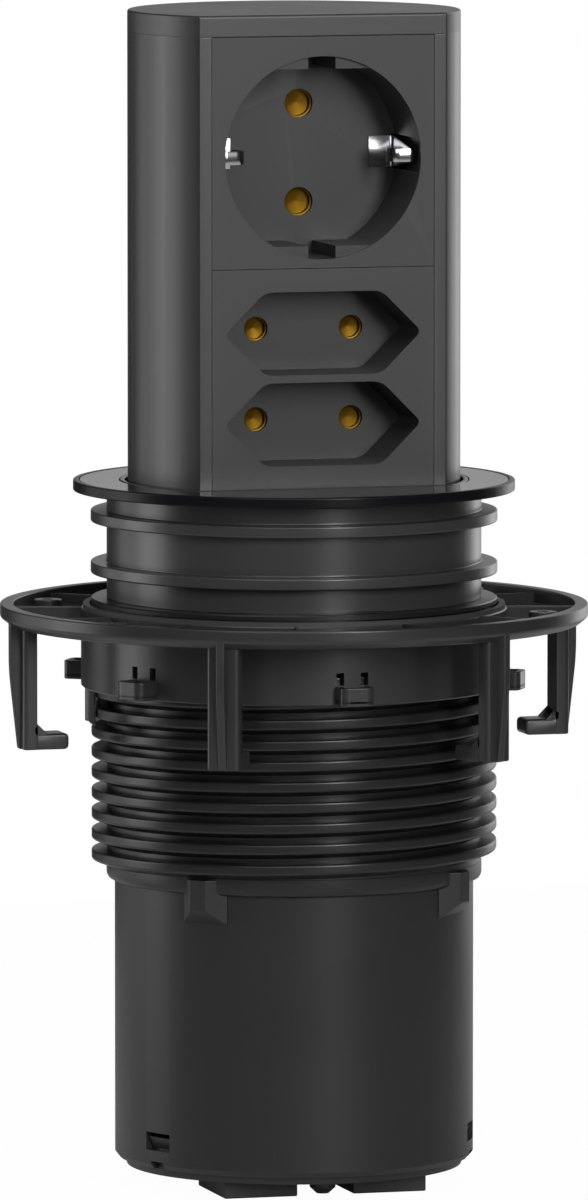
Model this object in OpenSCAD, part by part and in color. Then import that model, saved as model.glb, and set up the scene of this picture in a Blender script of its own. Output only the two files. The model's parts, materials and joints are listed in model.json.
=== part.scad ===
// Pop up desk socket: a spring-raised tower with one round and two flat sockets,
// a threaded sleeve through the worktop and a screw-on fixing ring below it.
// Origin: on the tower axis, on the underside of the flange. The front is at -Y.

/* [Tower] */
// Radius of the tower's round back
tower_r = 32.2; // [30:0.1:36]
// Height of the raised tower over the flange underside
tower_top = 93; // [88:0.5:102]
// How far the shell reaches below the flange underside
shell_drop = 22.3; // [22:0.1:26]
// Wall of the tower shell
shell_wall = 2; // [1.6:0.1:2.2]
// Thickness of the lid on top of the tower
cap_t = 4.1; // [3:0.1:5]
// Strip of the flat front on each side of the socket inserts
face_edge = 2.38; // [2:0.02:3]
// Strip of the insert on each side of the round recess
insert_edge = 2.7; // [2.6:0.1:3.5]
// Height of the insert above the round recess
insert_above = 3.9; // [3:0.1:5]
// Height of the insert below the round recess
insert_below = 1.7; // [1.2:0.1:3]
// Thickness of the floor behind the round recess
floor_t = 2; // [1.6:0.1:3]

/* [Round socket] */
// Radius of the round recess
schuko_r = 19.5; // [19:0.1:21]
// Depth of the recess
schuko_depth = 17.5; // [17:0.1:18.5]
// Height of the shelves above and below the deep part
schuko_shelf = 2.5; // [2:0.1:3]
// Depth of the recess over those shelves
shelf_depth = 1; // [0.6:0.1:2]
// Width of the keyways in the shelves
keyway_w = 5.4; // [4:0.1:6]
// Distance between the two pins
pin_pitch = 19; // [18.8:0.1:19.2]
// Inner radius of the pin sleeves
schuko_bore_r = 2.45; // [2.42:0.01:2.5]
// Width of the foot of an earth clip
clip_base_h = 6.1; // [5.5:0.1:7]

/* [Flat sockets] */
// Width over the pointed ends
euro_w = 39.2; // [38.5:0.1:41]
// Height of the recess
euro_h = 16; // [15.5:0.1:17]
// Depth of the recess
euro_depth = 14.2; // [13.5:0.1:15]
// Height of the insert above the upper recess
euro_above = 4.5; // [3.5:0.1:6]
// Height of the insert between the two recesses
euro_between = 1.5; // [1.2:0.1:4]
// Height of the insert below the lower recess
euro_below = 8.3; // [6:0.1:9]
// Inner radius of the pin sleeves
euro_bore_r = 2.05; // [2.02:0.01:2.1]

/* [Collar] */
// How far the flange reaches beyond the tube
flange_reach = 6.5; // [5:0.1:9]
// Thickness of the flange
flange_t = 2.06; // [1.8:0.02:2.4]
// Height of the two sealing ribs over the tube
rib_reach = 3.1; // [3.05:0.01:3.3]
// Width of one sealing rib
rib_h = 2.2; // [1.8:0.1:2.6]
// Depth of the upper rib's top below the flange
rib_top_1 = 3.8; // [3.5:0.1:5]
// Depth of the lower rib's top below the flange
rib_top_2 = 13.8; // [12:0.1:15]
// Depth of the end of the collar tube
collar_drop = 20.8; // [19:0.1:21]
// Gap between the tower and the bezel ring
bezel_gap = 0.6; // [0.4:0.05:0.8]
// Width of the bezel ring
bezel_w = 0.95; // [0.8:0.05:1.2]

/* [Threaded sleeve] */
// Wall of the sleeve under the thread
sleeve_t = 1.4; // [1.2:0.1:2.5]
// Height of the thread over the sleeve
thread_h = 3; // [2.5:0.05:3.05]
// Rise of the thread in one turn
thread_pitch = 4; // [4:0.5:5]
// Depth of the sleeve's lower end
sleeve_drop = 75.4; // [68:0.1:84]

/* [Housing] */
// Wall of the guide liner
liner_t = 0.7; // [0.6:0.1:1.5]
// Wall of the lower housing
housing_wall = 1.5; // [1.4:0.05:2]
// Room for the latch and the connectors under the lowered tower
sump_h = 14.5; // [14.5:0.1:20]
// Thickness of the bottom cap
cap_plate_t = 1.5; // [1.4:0.1:2]
// How far the two connectors reach below the housing
connector_reach = 5.1; // [4:0.1:8]
// Width of one connector
connector_w = 14.7; // [14:0.1:16]
// Front to back depth of one connector
connector_d = 19; // [18:0.1:21]

/* [Mechanism] */
// Travel from fully raised to pressed past flush
stroke = 93; // [84:0.5:102]
// Tooth module of the damper gear and rack
tooth_module = 0.8; // [0.8:0.05:0.85]
// Teeth on the damper gear
gear_teeth = 10; // [10:1:11]
// Radius of the coiled spring tape on its reel
tape_r = 4.4; // [4:0.1:4.4]
// Diameter of the coiled lead
lead_d = 6; // [4:0.5:6]
// Turns of the coiled lead
lead_turns = 3.5; // [2.5:1:3.5]

/* [Fixing ring] */
// Wall of the ring's hub
hub_wall = 1.7; // [1.5:0.1:2.5]
// Height of the hub
hub_h = 16; // [15:0.5:18]
// How far the ring reaches beyond its hub
ring_reach = 15.7; // [14.5:0.1:19]
// Depth of the ring's top below the flange
ring_top = 22; // [22:0.1:30]
// Width of the ring's rim
rim_w = 2.6; // [2:0.1:3]
// Distance of the screw holes from the hub
screw_reach = 8.2; // [7:0.1:9]
// Radius of the screw holes
screw_hole_r = 1.1; // [1:0.05:1.3]
// Length of the legs below the ring's top
leg_drop = 27; // [25:0.5:30]

/* [Hidden] */

// Clearances
fit_gap = 0.1;
run_gap = 0.3;
pin_run = 0.05;
// Past a face, so that a cut goes clean through
cut = 1;
// Smoothness of round solids
fine = 96;

black = "#232425";
dark = "#1b1c1d";
gloss = "#202122";
nickel = "#c9cbcc";
brass = "#a8781c";
steel = "#9a9ca0";

// Radii from the tower outwards
liner_in_r = tower_r + run_gap;
liner_r = liner_in_r + liner_t;
bore_r = liner_r + fit_gap;
housing_r = bore_r + housing_wall;
sleeve_bore_r = housing_r + fit_gap;
tube_r = sleeve_bore_r + sleeve_t;
rib_r = tube_r + rib_reach;
thread_r = tube_r + thread_h;
flange_r = tube_r + flange_reach;
hub_bore_r = thread_r + run_gap;
hub_r = hub_bore_r + hub_wall;
ring_r = hub_r + ring_reach;

// Tower
insert_w = 2 * (schuko_r + insert_edge);
tower_flat = sqrt(pow(tower_r, 2) - pow(insert_w / 2 + face_edge, 2));
shell_in_r = tower_r - shell_wall;
shell_in_flat = tower_flat - shell_wall;
shell_top = tower_top - cap_t;
schuko_z = shell_top - insert_above - schuko_r;
division_z = schuko_z - schuko_r - insert_below;
euro_upper_z = division_z - euro_above - euro_h / 2;
euro_lower_z = euro_upper_z - euro_between - euro_h;
insert_bottom = euro_lower_z - euro_h / 2 - euro_below;
insert_depth = schuko_depth + floor_t;
schuko_half = schuko_r - schuko_shelf;
schuko_hole_r = schuko_bore_r + 0.35;
euro_hole_r = euro_bore_r + 0.3;
clip_slot_h = clip_base_h + 0.5;
insert_back = insert_depth - tower_flat;
schuko_floor = schuko_depth - tower_flat;
euro_floor = euro_depth - tower_flat;
insert_half = insert_w / 2 - fit_gap;
lip_reach = 1.1;
lip_t = 1.6;
lip_y = fit_gap - shell_in_flat;
cap_spigot_h = 3;
cap_chamfer = 0.35;
sleeve_lip = 0.9;
sleeve_wall = 0.95;
schuko_sleeve_r = schuko_bore_r + sleeve_wall;
euro_sleeve_r = euro_bore_r + sleeve_wall;
sleeve_slit = 0.8;
slit_l = 9;
bar_t = 0.8;
bar_w = 3.5;
bar_x = 10.25;
bar_over = 4;
clip_t = 0.6;
clip_wall_x = schuko_r - 0.6;
clip_nose_h = 2.6;
clip_foot_l = 5.6;
clip_base_x = schuko_r - clip_foot_l;
clip_nose_inset = 3.3;
clip_nose_y = clip_nose_inset - tower_flat;
clip_reach = 5.1;
clip_tip_x = schuko_r - clip_reach;
clip_taper_inset = 8.3;
clip_taper_y = clip_taper_inset - tower_flat;
slot_in_x = schuko_r - 1.4;
slot_out_x = schuko_r + 0.9;
slot_front = 0.8;
strap_z = schuko_z;
carrier_wall = 1.6;
carrier_half = insert_w / 2 - 0.4;
carrier_room = 3.1;
carrier_back = sqrt(pow(shell_in_r, 2) - pow(carrier_half, 2)) - carrier_room;
contact_room = 3.8;
contact_end = carrier_back - carrier_wall - contact_room;
bar_y = contact_end + fit_gap;
carrier_in = carrier_half - carrier_wall;
bridge_inset = 7.3;
bridge_y = insert_back + bridge_inset;
carrier_lift = 3.2;
carrier_bottom = insert_bottom + carrier_lift;
carrier_top = shell_top - cap_spigot_h - run_gap;
carrier_y = insert_back + fit_gap;
boss_x = carrier_in - 2.3;
boss_r = 2.6;
pilot_depth = 4.4;
screw_r = 1.05;
screw_head_r = 2.2;
screw_head_h = 1.6;
screw_below = 6.3;
screw_between = 4.3;
screw_above = 17.5;
carrier_screw_z = [euro_lower_z - screw_below, division_z - screw_between, schuko_z + screw_above];
euro_corner = 4;
euro_tip = 1.2;

// Collar and bezel
open_r = tower_r + bezel_gap;
open_flat = tower_flat + bezel_gap;
bezel_r = open_r + bezel_w;
bezel_flat = open_flat + bezel_w;
bezel_t = 1.7;
ledge_z = flange_t + 0.04 - bezel_t;
plate_t = 0.8;
plate_top = flange_t - 0.06;
plate_r = flange_r - 1.2;
plate_floor = plate_top - plate_t;
lip_chamfer = 0.3;
segment_bottom = -1.2;
spigot_l = 9.2;
spigot_drop = collar_drop + spigot_l;
liner_bottom = run_gap - shell_drop;
liner_front_inset = 17.8;
liner_front = liner_front_inset - bore_r;

// Thread
shoulder_h = 1.2;
shoulder_r = rib_r;
crest_w = 1.2;
root_w = 2;
steps_per_turn = 36;
thread_drop = sleeve_drop - 2.8;
// Height of the crest at the angle zero, straight ahead
crest_z0 = -21.6;
rim_r = tube_r + 0.1;
rim_top = 3.4 - sleeve_drop;
rim_chamfer = 1.2;
nut_ridge_w = 0.9;
nut_root_w = 1.7;
nut_ridge_r = tube_r + 0.7;
nut_turns = 1.25;

// Housing
lug_angles = [45, 135, 225, 315];
lug_w = 3.3;
lug_r = housing_r + 3.1;
lug_top = 2 - sleeve_drop;
lug_reach = 5.6;
lug_bottom = -sleeve_drop - lug_reach;
lug_h = 2.7;
window_angle = 65;
window_w = 7;
window_h = 3.5;
notch_w = 3.8;
notch_h = 1.5;
housing_drop = shell_drop + stroke + sump_h;
housing_foot_r = housing_r - 0.8;
cap_r = housing_r - 1.8;
cap_bevel = 0.5;
cap_wall_r = bore_r - fit_gap;
cap_wall_h = 6.2;
cap_wall_t = 1.4;
floor_z = -housing_drop;
window_rise = 5.35;
window_z = floor_z + window_rise;
cap_bottom = floor_z - cap_plate_t;
connector_drop = housing_drop + connector_reach;
connector_inset = 11.1;
connector_front = connector_inset - bore_r;
inlet_side = 5.5;
inlet_x0 = -connector_w - inlet_side;
outlet_x0 = 5.6;
connector_rise = 7.4;
connector_top = floor_z + connector_rise;
connector_wall = 1.4;
cavity_depth = 10;
pin_gap = 4.2;
pin_side = 1.1;
tongue_w = 5.2;
tongue_d = 12.8;
contact_w = 2.8;
contact_d = 1.8;
contact_wall = 0.3;
screw_y = connector_front + 1.8;
foot_screw_r = 2.5;
foot_screw_h = 2.2;
foot_tip_r = 1.2;
foot_tip_h = 1.2;
foot_shank_r = 0.95;
foot_boss_r = 3;
foot_boss_h = 5;

// Mechanism
base_top = -shell_drop;
base_r = bore_r - 0.4;
base_plate_t = 2.5;
base_h = 7.7;
base_bottom = base_top - base_h;
base_rim_w = 11.4;
skirt_inset_x = 10.9;
skirt_inset_y = 12.9;
base_open_r = base_r - base_rim_w;
skirt_open_x = base_r - skirt_inset_x;
skirt_open_y = base_r - skirt_inset_y;
base_boss_t = 1.5;
base_boss_h = 5;
base_screw_x = 12;
base_screw_z = base_top + 3;
base_screw_r = 0.85;
base_screw_l = 4;
lead_y = 4;
base_skirt_t = 1.7;
base_spigot_h = 6;
gear_x = 9;
gear_z = base_bottom;
gear_inset = 7.3;
gear_y = gear_inset - bore_r;
gear_t = 3.2;
gear_pitch_r = tooth_module * gear_teeth / 2;
gear_tip_r = gear_pitch_r + 0.8 * tooth_module;
gear_root_r = gear_pitch_r - 1.1 * tooth_module;
tooth_pitch = PI * tooth_module;
tooth_play = 0.25;
gear_bore_r = 1;
damper_r = 4.9;
damper_t = 3.6;
damper_neck = 6;
rack_x = gear_x + gear_pitch_r;
rack_top = gear_z + 4;
rack_back = 2.2;
rack_web_front = gear_y + 0.6;
rack_web_t = 1.2;
reel_inset = 6.1;
reel_y = reel_inset - bore_r;
reel_z = -12;
reel_half = 5;
reel_flange = 0.8;
reel_flange_r = tape_r + 0.5;
reel_pin_r = 1.2;
cheek_t = 1.2;
cheek_x = reel_half + reel_flange + run_gap;
tape_w = 8;
tape_t = 0.25;
tape_end = base_top - base_plate_t + fit_gap;
latch_x = -12.5;
latch_rise = 5.4;
latch_inset = 6.3;
latch_z = floor_z + latch_rise;
latch_y = latch_inset - bore_r;
latch_t = 4;
latch_pin_r = 1.2;
latch_arm_w = 2.4;
latch_nose = 2.2;
latch_nose_h = 3;
latch_eye_r = 2.2;
latch_ear = 2.4;
latch_ear_back = 2.2;
latch_head_t = 0.5;
latch_pin_back = 1.6;
latch_open = 12;
latch_room = 3.7;
latched = stroke - 2;
hook_z = base_top - latched + run_gap;
lead_r = 15;
lead_sides = 8;
lead_rings_per_turn = 18;
lead_low = connector_top;
lead_high = carrier_bottom;
lead_straight = lead_d;
lead_start_angle = -140;

// Fixing ring
washer_t = 0.8;
washer_r = hub_r - run_gap - fit_gap;
screw_circle_r = hub_r + screw_reach;
rim_t = 3.7;
rim_face = 2.4;
rim_bevel = 1.6;
web_t = 1;
spoke_t = 0.9;
spoke_count = 12;
spoke_offset = 15;
boss_count = 6;
ring_boss_r = 2.7;
ring_boss_drop = 0.6;
ring_lug_reach = 4.3;
lug_out_r = hub_r + ring_lug_reach;
ring_lug_w = 6.7;
ring_lug_h = 3.6;
lug_wall = 1.2;
lug_slot_x = 2.4;
slot_w = 1.5;
slot_h = 2.4;
leg_w = 6.9;
leg_inset = 4.6;
leg_plate_r = ring_r - leg_inset;
leg_plate_t = 1.6;
leg_stem_t = 1.6;
leg_taper = 11.7;
leg_end_inset = 2.1;
leg_end_r = ring_r - leg_end_inset;
toe_gap = 4.6;
toe_r = hub_r + toe_gap;
toe_t = 3.1;
gusset = 2;
gusset_t = 1;
tab_r = hub_r - 0.4;
tab_reach = 7;
tab_bottom = hub_h + tab_reach;
tab_angle = 14;
tab_axis = -15.7;

// Turns a part that faces the front to an angle counted from the front towards +X
module turned(angle) {
    rotate([0, 0, angle]) children();
}

// Disc with its front cut flat
module dee(r, flat) {
    difference() {
        circle(r = r, $fn = fine);
        translate([-2 * r, -flat - 2 * r]) square([4 * r, 2 * r]);
    }
}

// Band between two such discs, standing from low to high
module dee_band(r_out, flat_out, r_in, flat_in, low, high) {
    translate([0, 0, low]) linear_extrude(high - low) difference() {
        dee(r_out, flat_out);
        dee(r_in, flat_in);
    }
}

// Plain ring from low to high
module tube_between(r_out, r_in, low, high) {
    translate([0, 0, low]) difference() {
        cylinder(r = r_out, h = high - low, $fn = fine);
        translate([0, 0, -cut]) cylinder(r = r_in, h = high - low + 2 * cut, $fn = fine);
    }
}

// Rod along +Y from y0 to y1 at a place in the front view
module rod_y(r, x, y0, y1, z, sides = 48) {
    translate([x, y0, z]) rotate([-90, 0, 0]) cylinder(r = r, h = y1 - y0, $fn = sides);
}

// Rod along +X from x0 to x1
module rod_x(r, x0, x1, y, z, sides = 48) {
    translate([x0, y, z]) rotate([0, 90, 0]) cylinder(r = r, h = x1 - x0, $fn = sides);
}

// Box given by its low and high corners
module block(low, high) {
    translate(low) cube(high - low);
}

// One helical ridge: its section is a trapezoid whose wide side is at the tube
module helix_ridge(r_in, r_out, w_in, w_out, z0, turns, angle0) {
    steps = ceil(turns * steps_per_turn);
    pts = [for (i = [0:steps])
        let (a = angle0 + i * 360 * turns / steps,
             z = z0 + (a - angle0) / 360 * thread_pitch,
             c = cos(a - 90),
             s = sin(a - 90))
        each [[r_in * c, r_in * s, z - w_in / 2],
              [r_out * c, r_out * s, z - w_out / 2],
              [r_out * c, r_out * s, z + w_out / 2],
              [r_in * c, r_in * s, z + w_in / 2]]];
    sides = [for (i = [0:steps - 1], k = [0:3])
        let (a = 4 * i + k, b = 4 * i + (k + 1) % 4)
        each [[a, b + 4, a + 4], [a, b, b + 4]]];
    polyhedron(pts, concat([[2, 1, 0], [3, 2, 0]], sides,
        [[4 * steps, 4 * steps + 1, 4 * steps + 2], [4 * steps, 4 * steps + 2, 4 * steps + 3]]));
}

// Height of the thread's crest at an angle, on the turn that passes the front at crest_z0
function crest_z(angle) = crest_z0 + angle / 360 * thread_pitch;

// Collar: flange, tube and ribs in one moulding
module collar() {
    color(black) {
        difference() {
            union() {
                cylinder(r = flange_r, h = flange_t - lip_chamfer, $fn = fine);
                translate([0, 0, flange_t - lip_chamfer])
                    cylinder(r1 = flange_r, r2 = flange_r - lip_chamfer, h = lip_chamfer, $fn = fine);
                translate([0, 0, segment_bottom]) cylinder(r = tube_r, h = -segment_bottom, $fn = fine);
                tube_between(tube_r, bore_r, -collar_drop, segment_bottom);
                tube_between(housing_r, bore_r, -spigot_drop, -collar_drop);
                for (top = [rib_top_1, rib_top_2])
                    tube_between(rib_r, bore_r, -top - rib_h, -top);
            }
            translate([0, 0, segment_bottom - cut])
                linear_extrude(flange_t + 2 * cut - segment_bottom) dee(open_r, open_flat);
            translate([0, 0, ledge_z]) linear_extrude(flange_t) dee(bezel_r + fit_gap, bezel_flat + fit_gap);
            translate([0, 0, plate_floor]) cylinder(r = plate_r + fit_gap, h = flange_t, $fn = fine);
        }
    }
}

// Plate let into the top of the flange
module trim_plate() {
    color(gloss) translate([0, 0, plate_floor]) linear_extrude(plate_t) difference() {
        circle(r = plate_r, $fn = fine);
        dee(bezel_r + 2 * fit_gap, bezel_flat + 2 * fit_gap);
    }
}

// Thin raised ring round the tower
module bezel_ring() {
    color("#55585a") dee_band(bezel_r, bezel_flat, open_r, open_flat, ledge_z, ledge_z + bezel_t);
}

// Low-friction liner that guides the tower's round back and stops the base
module guide_liner() {
    color("#d8d8d2") difference() {
        tube_between(liner_r, liner_in_r, liner_bottom, segment_bottom - fit_gap);
        block([-tower_r - 2, -tower_r - 2, liner_bottom - cut], [tower_r + 2, liner_front, 0]);
    }
}

// Sleeve with the mounting thread
module threaded_sleeve() {
    top_angle = (-collar_drop - shoulder_h / 2 - crest_z0) * 360 / thread_pitch;
    thread_turns = (thread_drop - collar_drop - shoulder_h / 2) / thread_pitch;
    color(black) {
        difference() {
            union() {
                translate([0, 0, rim_top]) cylinder(r = tube_r, h = -collar_drop - rim_top, $fn = fine);
                translate([0, 0, -collar_drop - shoulder_h])
                    cylinder(r = shoulder_r, h = shoulder_h, $fn = fine);
                translate([0, 0, -sleeve_drop + rim_chamfer])
                    cylinder(r = rim_r, h = sleeve_drop - rim_chamfer + rim_top, $fn = fine);
                translate([0, 0, -sleeve_drop])
                    cylinder(r1 = rim_r - rim_chamfer / 1.5, r2 = rim_r, h = rim_chamfer, $fn = fine);
            }
            translate([0, 0, -sleeve_drop - cut])
                cylinder(r = sleeve_bore_r, h = sleeve_drop, $fn = fine);
            for (side = lug_angles) turned(side)
                block([-lug_w / 2 - fit_gap, -rim_r - cut, -sleeve_drop - cut],
                    [lug_w / 2 + fit_gap, cut - sleeve_bore_r, lug_top + fit_gap]);
        }
        helix_ridge(tube_r - 0.4, thread_r, root_w + 0.2, crest_w,
            crest_z(top_angle - 360 * thread_turns), thread_turns, top_angle - 360 * thread_turns);
    }
}

// One lug: straight in the notch of the sleeve's rim, flared and sloped off below it
module housing_lug() {
    crest = lug_w / 2;
    foot = crest + lug_r - housing_r;
    shelf = -sleeve_drop - fit_gap;
    block([-crest, -lug_r, shelf], [crest, cut - housing_r, lug_top]);
    translate([0, 0, lug_bottom + lug_h]) linear_extrude(shelf - lug_bottom - lug_h)
        polygon([[-foot, cut - housing_r], [-foot, -housing_r], [-crest, -lug_r],
            [crest, -lug_r], [foot, -housing_r], [foot, cut - housing_r]]);
    rotate([90, 0, 90]) translate([0, 0, -crest]) linear_extrude(lug_w)
        polygon([[cut - housing_r, lug_bottom + lug_h], [-lug_r, lug_bottom + lug_h],
            [-housing_r, lug_bottom], [cut - housing_r, lug_bottom]]);
}

// Lower housing
module lower_housing() {
    color(black) difference() {
        union() {
            translate([0, 0, cut - housing_drop])
                cylinder(r = housing_r, h = housing_drop - cut - spigot_drop - fit_gap, $fn = fine);
            translate([0, 0, -housing_drop])
                cylinder(r1 = housing_foot_r, r2 = housing_r, h = cut, $fn = fine);
            for (side = lug_angles) turned(side) housing_lug();
        }
        translate([0, 0, -housing_drop - cut]) cylinder(r = bore_r, h = housing_drop, $fn = fine);
        for (side = [-window_angle, window_angle, 180 - window_angle, 180 + window_angle]) turned(side) {
            block([-window_w / 2, -housing_r - cut, window_z - window_h / 2],
                [window_w / 2, cut - bore_r, window_z + window_h / 2]);
            block([-notch_w / 2, -housing_r - cut, -housing_drop - cut],
                [notch_w / 2, cut - bore_r, notch_h - housing_drop]);
        }
    }
}

// Bottom cap with its collar, snap tabs, ears and connector openings
module bottom_cap() {
    color(black) {
        difference() {
            union() {
                translate([0, 0, cap_bottom])
                    cylinder(r1 = cap_r - cap_bevel, r2 = cap_r, h = cap_plate_t, $fn = fine);
                tube_between(cap_wall_r, cap_wall_r - cap_wall_t, floor_z, floor_z + cap_wall_h);
            }
            connector_hole(inlet_x0);
            connector_hole(outlet_x0);
            rod_z(foot_shank_r + fit_gap, 0, screw_y, cap_bottom - cut, floor_z + cut);
            block([gear_x - damper_r - 1.5, -cap_r - cut, floor_z],
                [rack_x + 3, gear_y, floor_z + cap_wall_h + cut]);
        }
        for (side = [-window_angle, window_angle, 180 - window_angle, 180 + window_angle]) turned(side)
            snap_tab();
        difference() {
            block([latch_x - latch_ear, latch_y - latch_ear_back, floor_z],
                [latch_x + latch_ear, latch_y - run_gap, latch_z + latch_ear]);
            rod_y(latch_pin_r + pin_run, latch_x, latch_y - latch_t, latch_y, latch_z);
        }
        difference() {
            rod_z(foot_boss_r, 0, screw_y, floor_z, floor_z + foot_boss_h);
            rod_z(foot_shank_r + pin_run, 0, screw_y, floor_z - cut, floor_z + foot_boss_h + cut);
        }
    }
}

// Rod along +Z
module rod_z(r, x, y, z0, z1, sides = 48) {
    translate([x, y, z0]) cylinder(r = r, h = z1 - z0, $fn = sides);
}

// Opening in the bottom cap for one connector
module connector_hole(x0) {
    block([x0 - fit_gap, connector_front - fit_gap, cap_bottom - cut],
        [x0 + connector_w + fit_gap, connector_front + connector_d + fit_gap,
         floor_z + cap_wall_h + cut]);
}

// Sloped tab in a window of the housing
module snap_tab() {
    half = window_w / 2 - 0.4;
    low = window_z - window_h / 2 + 0.3;
    high = floor_z + cap_wall_h;
    translate([-half, 0, 0]) rotate([90, 0, 90]) linear_extrude(2 * half)
        polygon([[cap_wall_t / 2 - cap_wall_r, low], [-cap_wall_r, low], [0.5 - housing_r, high],
            [cap_wall_t / 2 - cap_wall_r, high]]);
}

// Screw with a cone head under the bottom cap
module cap_screw() {
    color(steel) {
        translate([0, screw_y, cap_bottom - foot_screw_h - foot_tip_h])
            cylinder(r1 = foot_tip_r, r2 = foot_screw_r, h = foot_tip_h, $fn = 48);
        rod_z(foot_screw_r, 0, screw_y, cap_bottom - foot_screw_h, cap_bottom);
        rod_z(foot_shank_r, 0, screw_y, cap_bottom, floor_z + foot_boss_h - run_gap);
    }
}

// Shell of one plug-in connector, open below
module connector_shell(x0) {
    difference() {
        block([x0, connector_front, -connector_drop],
            [x0 + connector_w, connector_front + connector_d, connector_top]);
        block([x0 + connector_wall, connector_front + connector_wall, -connector_drop - cut],
            [x0 + connector_w - connector_wall, connector_front + connector_d - connector_wall,
             cavity_depth - connector_drop]);
    }
}

// Mains inlet
module inlet_connector() {
    color(dark) connector_shell(inlet_x0);
}

// Three flat pins in the inlet
module inlet_pins() {
    x = inlet_x0 + connector_w / 2;
    y = connector_front + connector_d / 2;
    color(brass) for (k = [-1, 0, 1])
        block([x - pin_side, y + k * pin_gap - pin_side / 2, 2 - connector_drop],
            [x + pin_side, y + k * pin_gap + pin_side / 2, cavity_depth - connector_drop]);
}

// Mains outlet for a second unit, with its raised tongue
module outlet_connector() {
    x = outlet_x0 + connector_w / 2;
    y = connector_front + connector_d / 2;
    color(dark) {
        connector_shell(outlet_x0);
        difference() {
            block([x - tongue_w / 2, y - tongue_d / 2, 1 - connector_drop],
                [x + tongue_w / 2, y + tongue_d / 2, cavity_depth + pin_run - connector_drop]);
            for (k = [-1, 0, 1]) translate([x, y + k * pin_gap, -connector_drop])
                block([-contact_w / 2 - fit_gap, -contact_d / 2 - fit_gap, 0],
                    [contact_w / 2 + fit_gap, contact_d / 2 + fit_gap, cavity_depth]);
        }
    }
}

// Three sprung contacts inside the outlet's tongue
module outlet_contacts() {
    x = outlet_x0 + connector_w / 2;
    y = connector_front + connector_d / 2;
    color(brass) for (k = [-1, 0, 1]) translate([x, y + k * pin_gap, -connector_drop]) difference() {
        block([-contact_w / 2, -contact_d / 2, 2], [contact_w / 2, contact_d / 2, cavity_depth]);
        block([contact_wall - contact_w / 2, contact_wall - contact_d / 2, 0],
            [contact_w / 2 - contact_wall, contact_d / 2 - contact_wall, cavity_depth - 1]);
    }
}

// Section of the toothed rack, with the tooth that meets the gear centred at gear_z
module rack_teeth(low, high) {
    tip = rack_x - 0.7 * tooth_module;
    root = rack_x + 1.1 * tooth_module;
    half_tip = tooth_pitch * 0.13;
    half_root = tooth_pitch * 0.36;
    count = floor((gear_z - low) / tooth_pitch);
    translate([root - 0.01, low]) square([rack_back, high - low]);
    for (i = [0:count]) translate([0, gear_z - (i - 0.5) * tooth_pitch])
        polygon([[root, -half_root], [tip, -half_tip], [tip, half_tip], [root, half_root]]);
}

// Rack on the housing wall that turns the damper gear
module damper_rack() {
    back = rack_x + 1.1 * tooth_module + rack_back;
    wall_x = sqrt(pow(bore_r - fit_gap, 2) - pow(rack_web_front, 2));
    color("#d9d9d4") {
        translate([0, gear_y + gear_t, 0]) rotate([90, 0, 0]) linear_extrude(gear_t)
            rack_teeth(floor_z, rack_top);
        block([back - 0.2, rack_web_front, floor_z + cap_wall_h + run_gap],
            [wall_x, rack_web_front + rack_web_t, rack_top]);
    }
}

// Two cheeks that hang the spring reel from the collar
module reel_bracket() {
    color(steel) difference() {
        union() {
            for (side = [-1, 1]) translate([side * (cheek_x + cheek_t / 2), 0, 0])
                block([-cheek_t / 2, reel_y - 4, reel_z - 4],
                    [cheek_t / 2, reel_y + 4, segment_bottom - cheek_t]);
            block([-cheek_x - cheek_t, reel_y - 4, segment_bottom - cheek_t],
                [cheek_x + cheek_t, reel_y + 4, segment_bottom]);
        }
        rod_x(reel_pin_r, -cheek_x - 2 * cheek_t, cheek_x + 2 * cheek_t, reel_y, reel_z);
    }
}

// Pin of the spring reel
module reel_pin() {
    color(nickel) rod_x(reel_pin_r, -cheek_x - cheek_t, cheek_x + cheek_t, reel_y, reel_z);
}

// Reel that carries the wound spring tape
module spring_reel() {
    color("#8f9294") difference() {
        union() {
            rod_x(tape_r, -reel_half, reel_half, reel_y, reel_z);
            rod_x(reel_flange_r, -reel_half - reel_flange, -reel_half, reel_y, reel_z);
            rod_x(reel_flange_r, reel_half, reel_half + reel_flange, reel_y, reel_z);
        }
        rod_x(reel_pin_r + pin_run, -reel_half - 2, reel_half + 2, reel_y, reel_z);
    }
}

// Straight stretch of the spring tape, from the reel to the base
module spring_tape() {
    color(steel) block([-tape_w / 2, reel_y - tape_r - tape_t - 0.05, tape_end],
        [tape_w / 2, reel_y - tape_r - 0.05, reel_z]);
}

// Hook that holds the lowered tower, drawn swung open as it stands while the tower is up
module latch_hook() {
    half = latch_arm_w / 2;
    reach = hook_z - latch_z;
    color("#d9d9d4") translate([latch_x, latch_y + latch_t, latch_z]) rotate([0, -latch_open, 0])
        rotate([90, 0, 0]) linear_extrude(latch_t) difference() {
            union() {
                circle(r = latch_eye_r, $fn = 48);
                polygon([[-half, 0], [half, 0], [half, reach], [half + latch_nose, reach],
                    [half, reach + latch_nose_h], [-half, reach + latch_nose_h]]);
            }
            circle(r = latch_pin_r + pin_run, $fn = 48);
        }
}

// Pin of the latch, with a head behind the hook
module latch_pin() {
    head_y = latch_y + latch_t + fit_gap;
    color(nickel) {
        rod_y(latch_pin_r, latch_x, latch_y - latch_pin_back, head_y, latch_z);
        rod_y(latch_pin_r + 0.6, latch_x, head_y, head_y + latch_head_t, latch_z);
    }
}

// Angle of the coiled lead: it turns steadily, and eases in and out so that its ends run straight
function lead_turn(t) = let (e = 0.12, k = 1 / (1 - e))
    t < e ? k * t * t / (2 * e) : t > 1 - e ? 1 - k * (1 - t) * (1 - t) / (2 * e) : k * (t - e / 2);
function lead_point(t) = let (a = lead_start_angle + 360 * lead_turns * lead_turn(t))
    [lead_r * cos(a), lead_y + lead_r * sin(a), lead_low + lead_straight
        + (lead_high - lead_low - 2 * lead_straight) * t];

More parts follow.
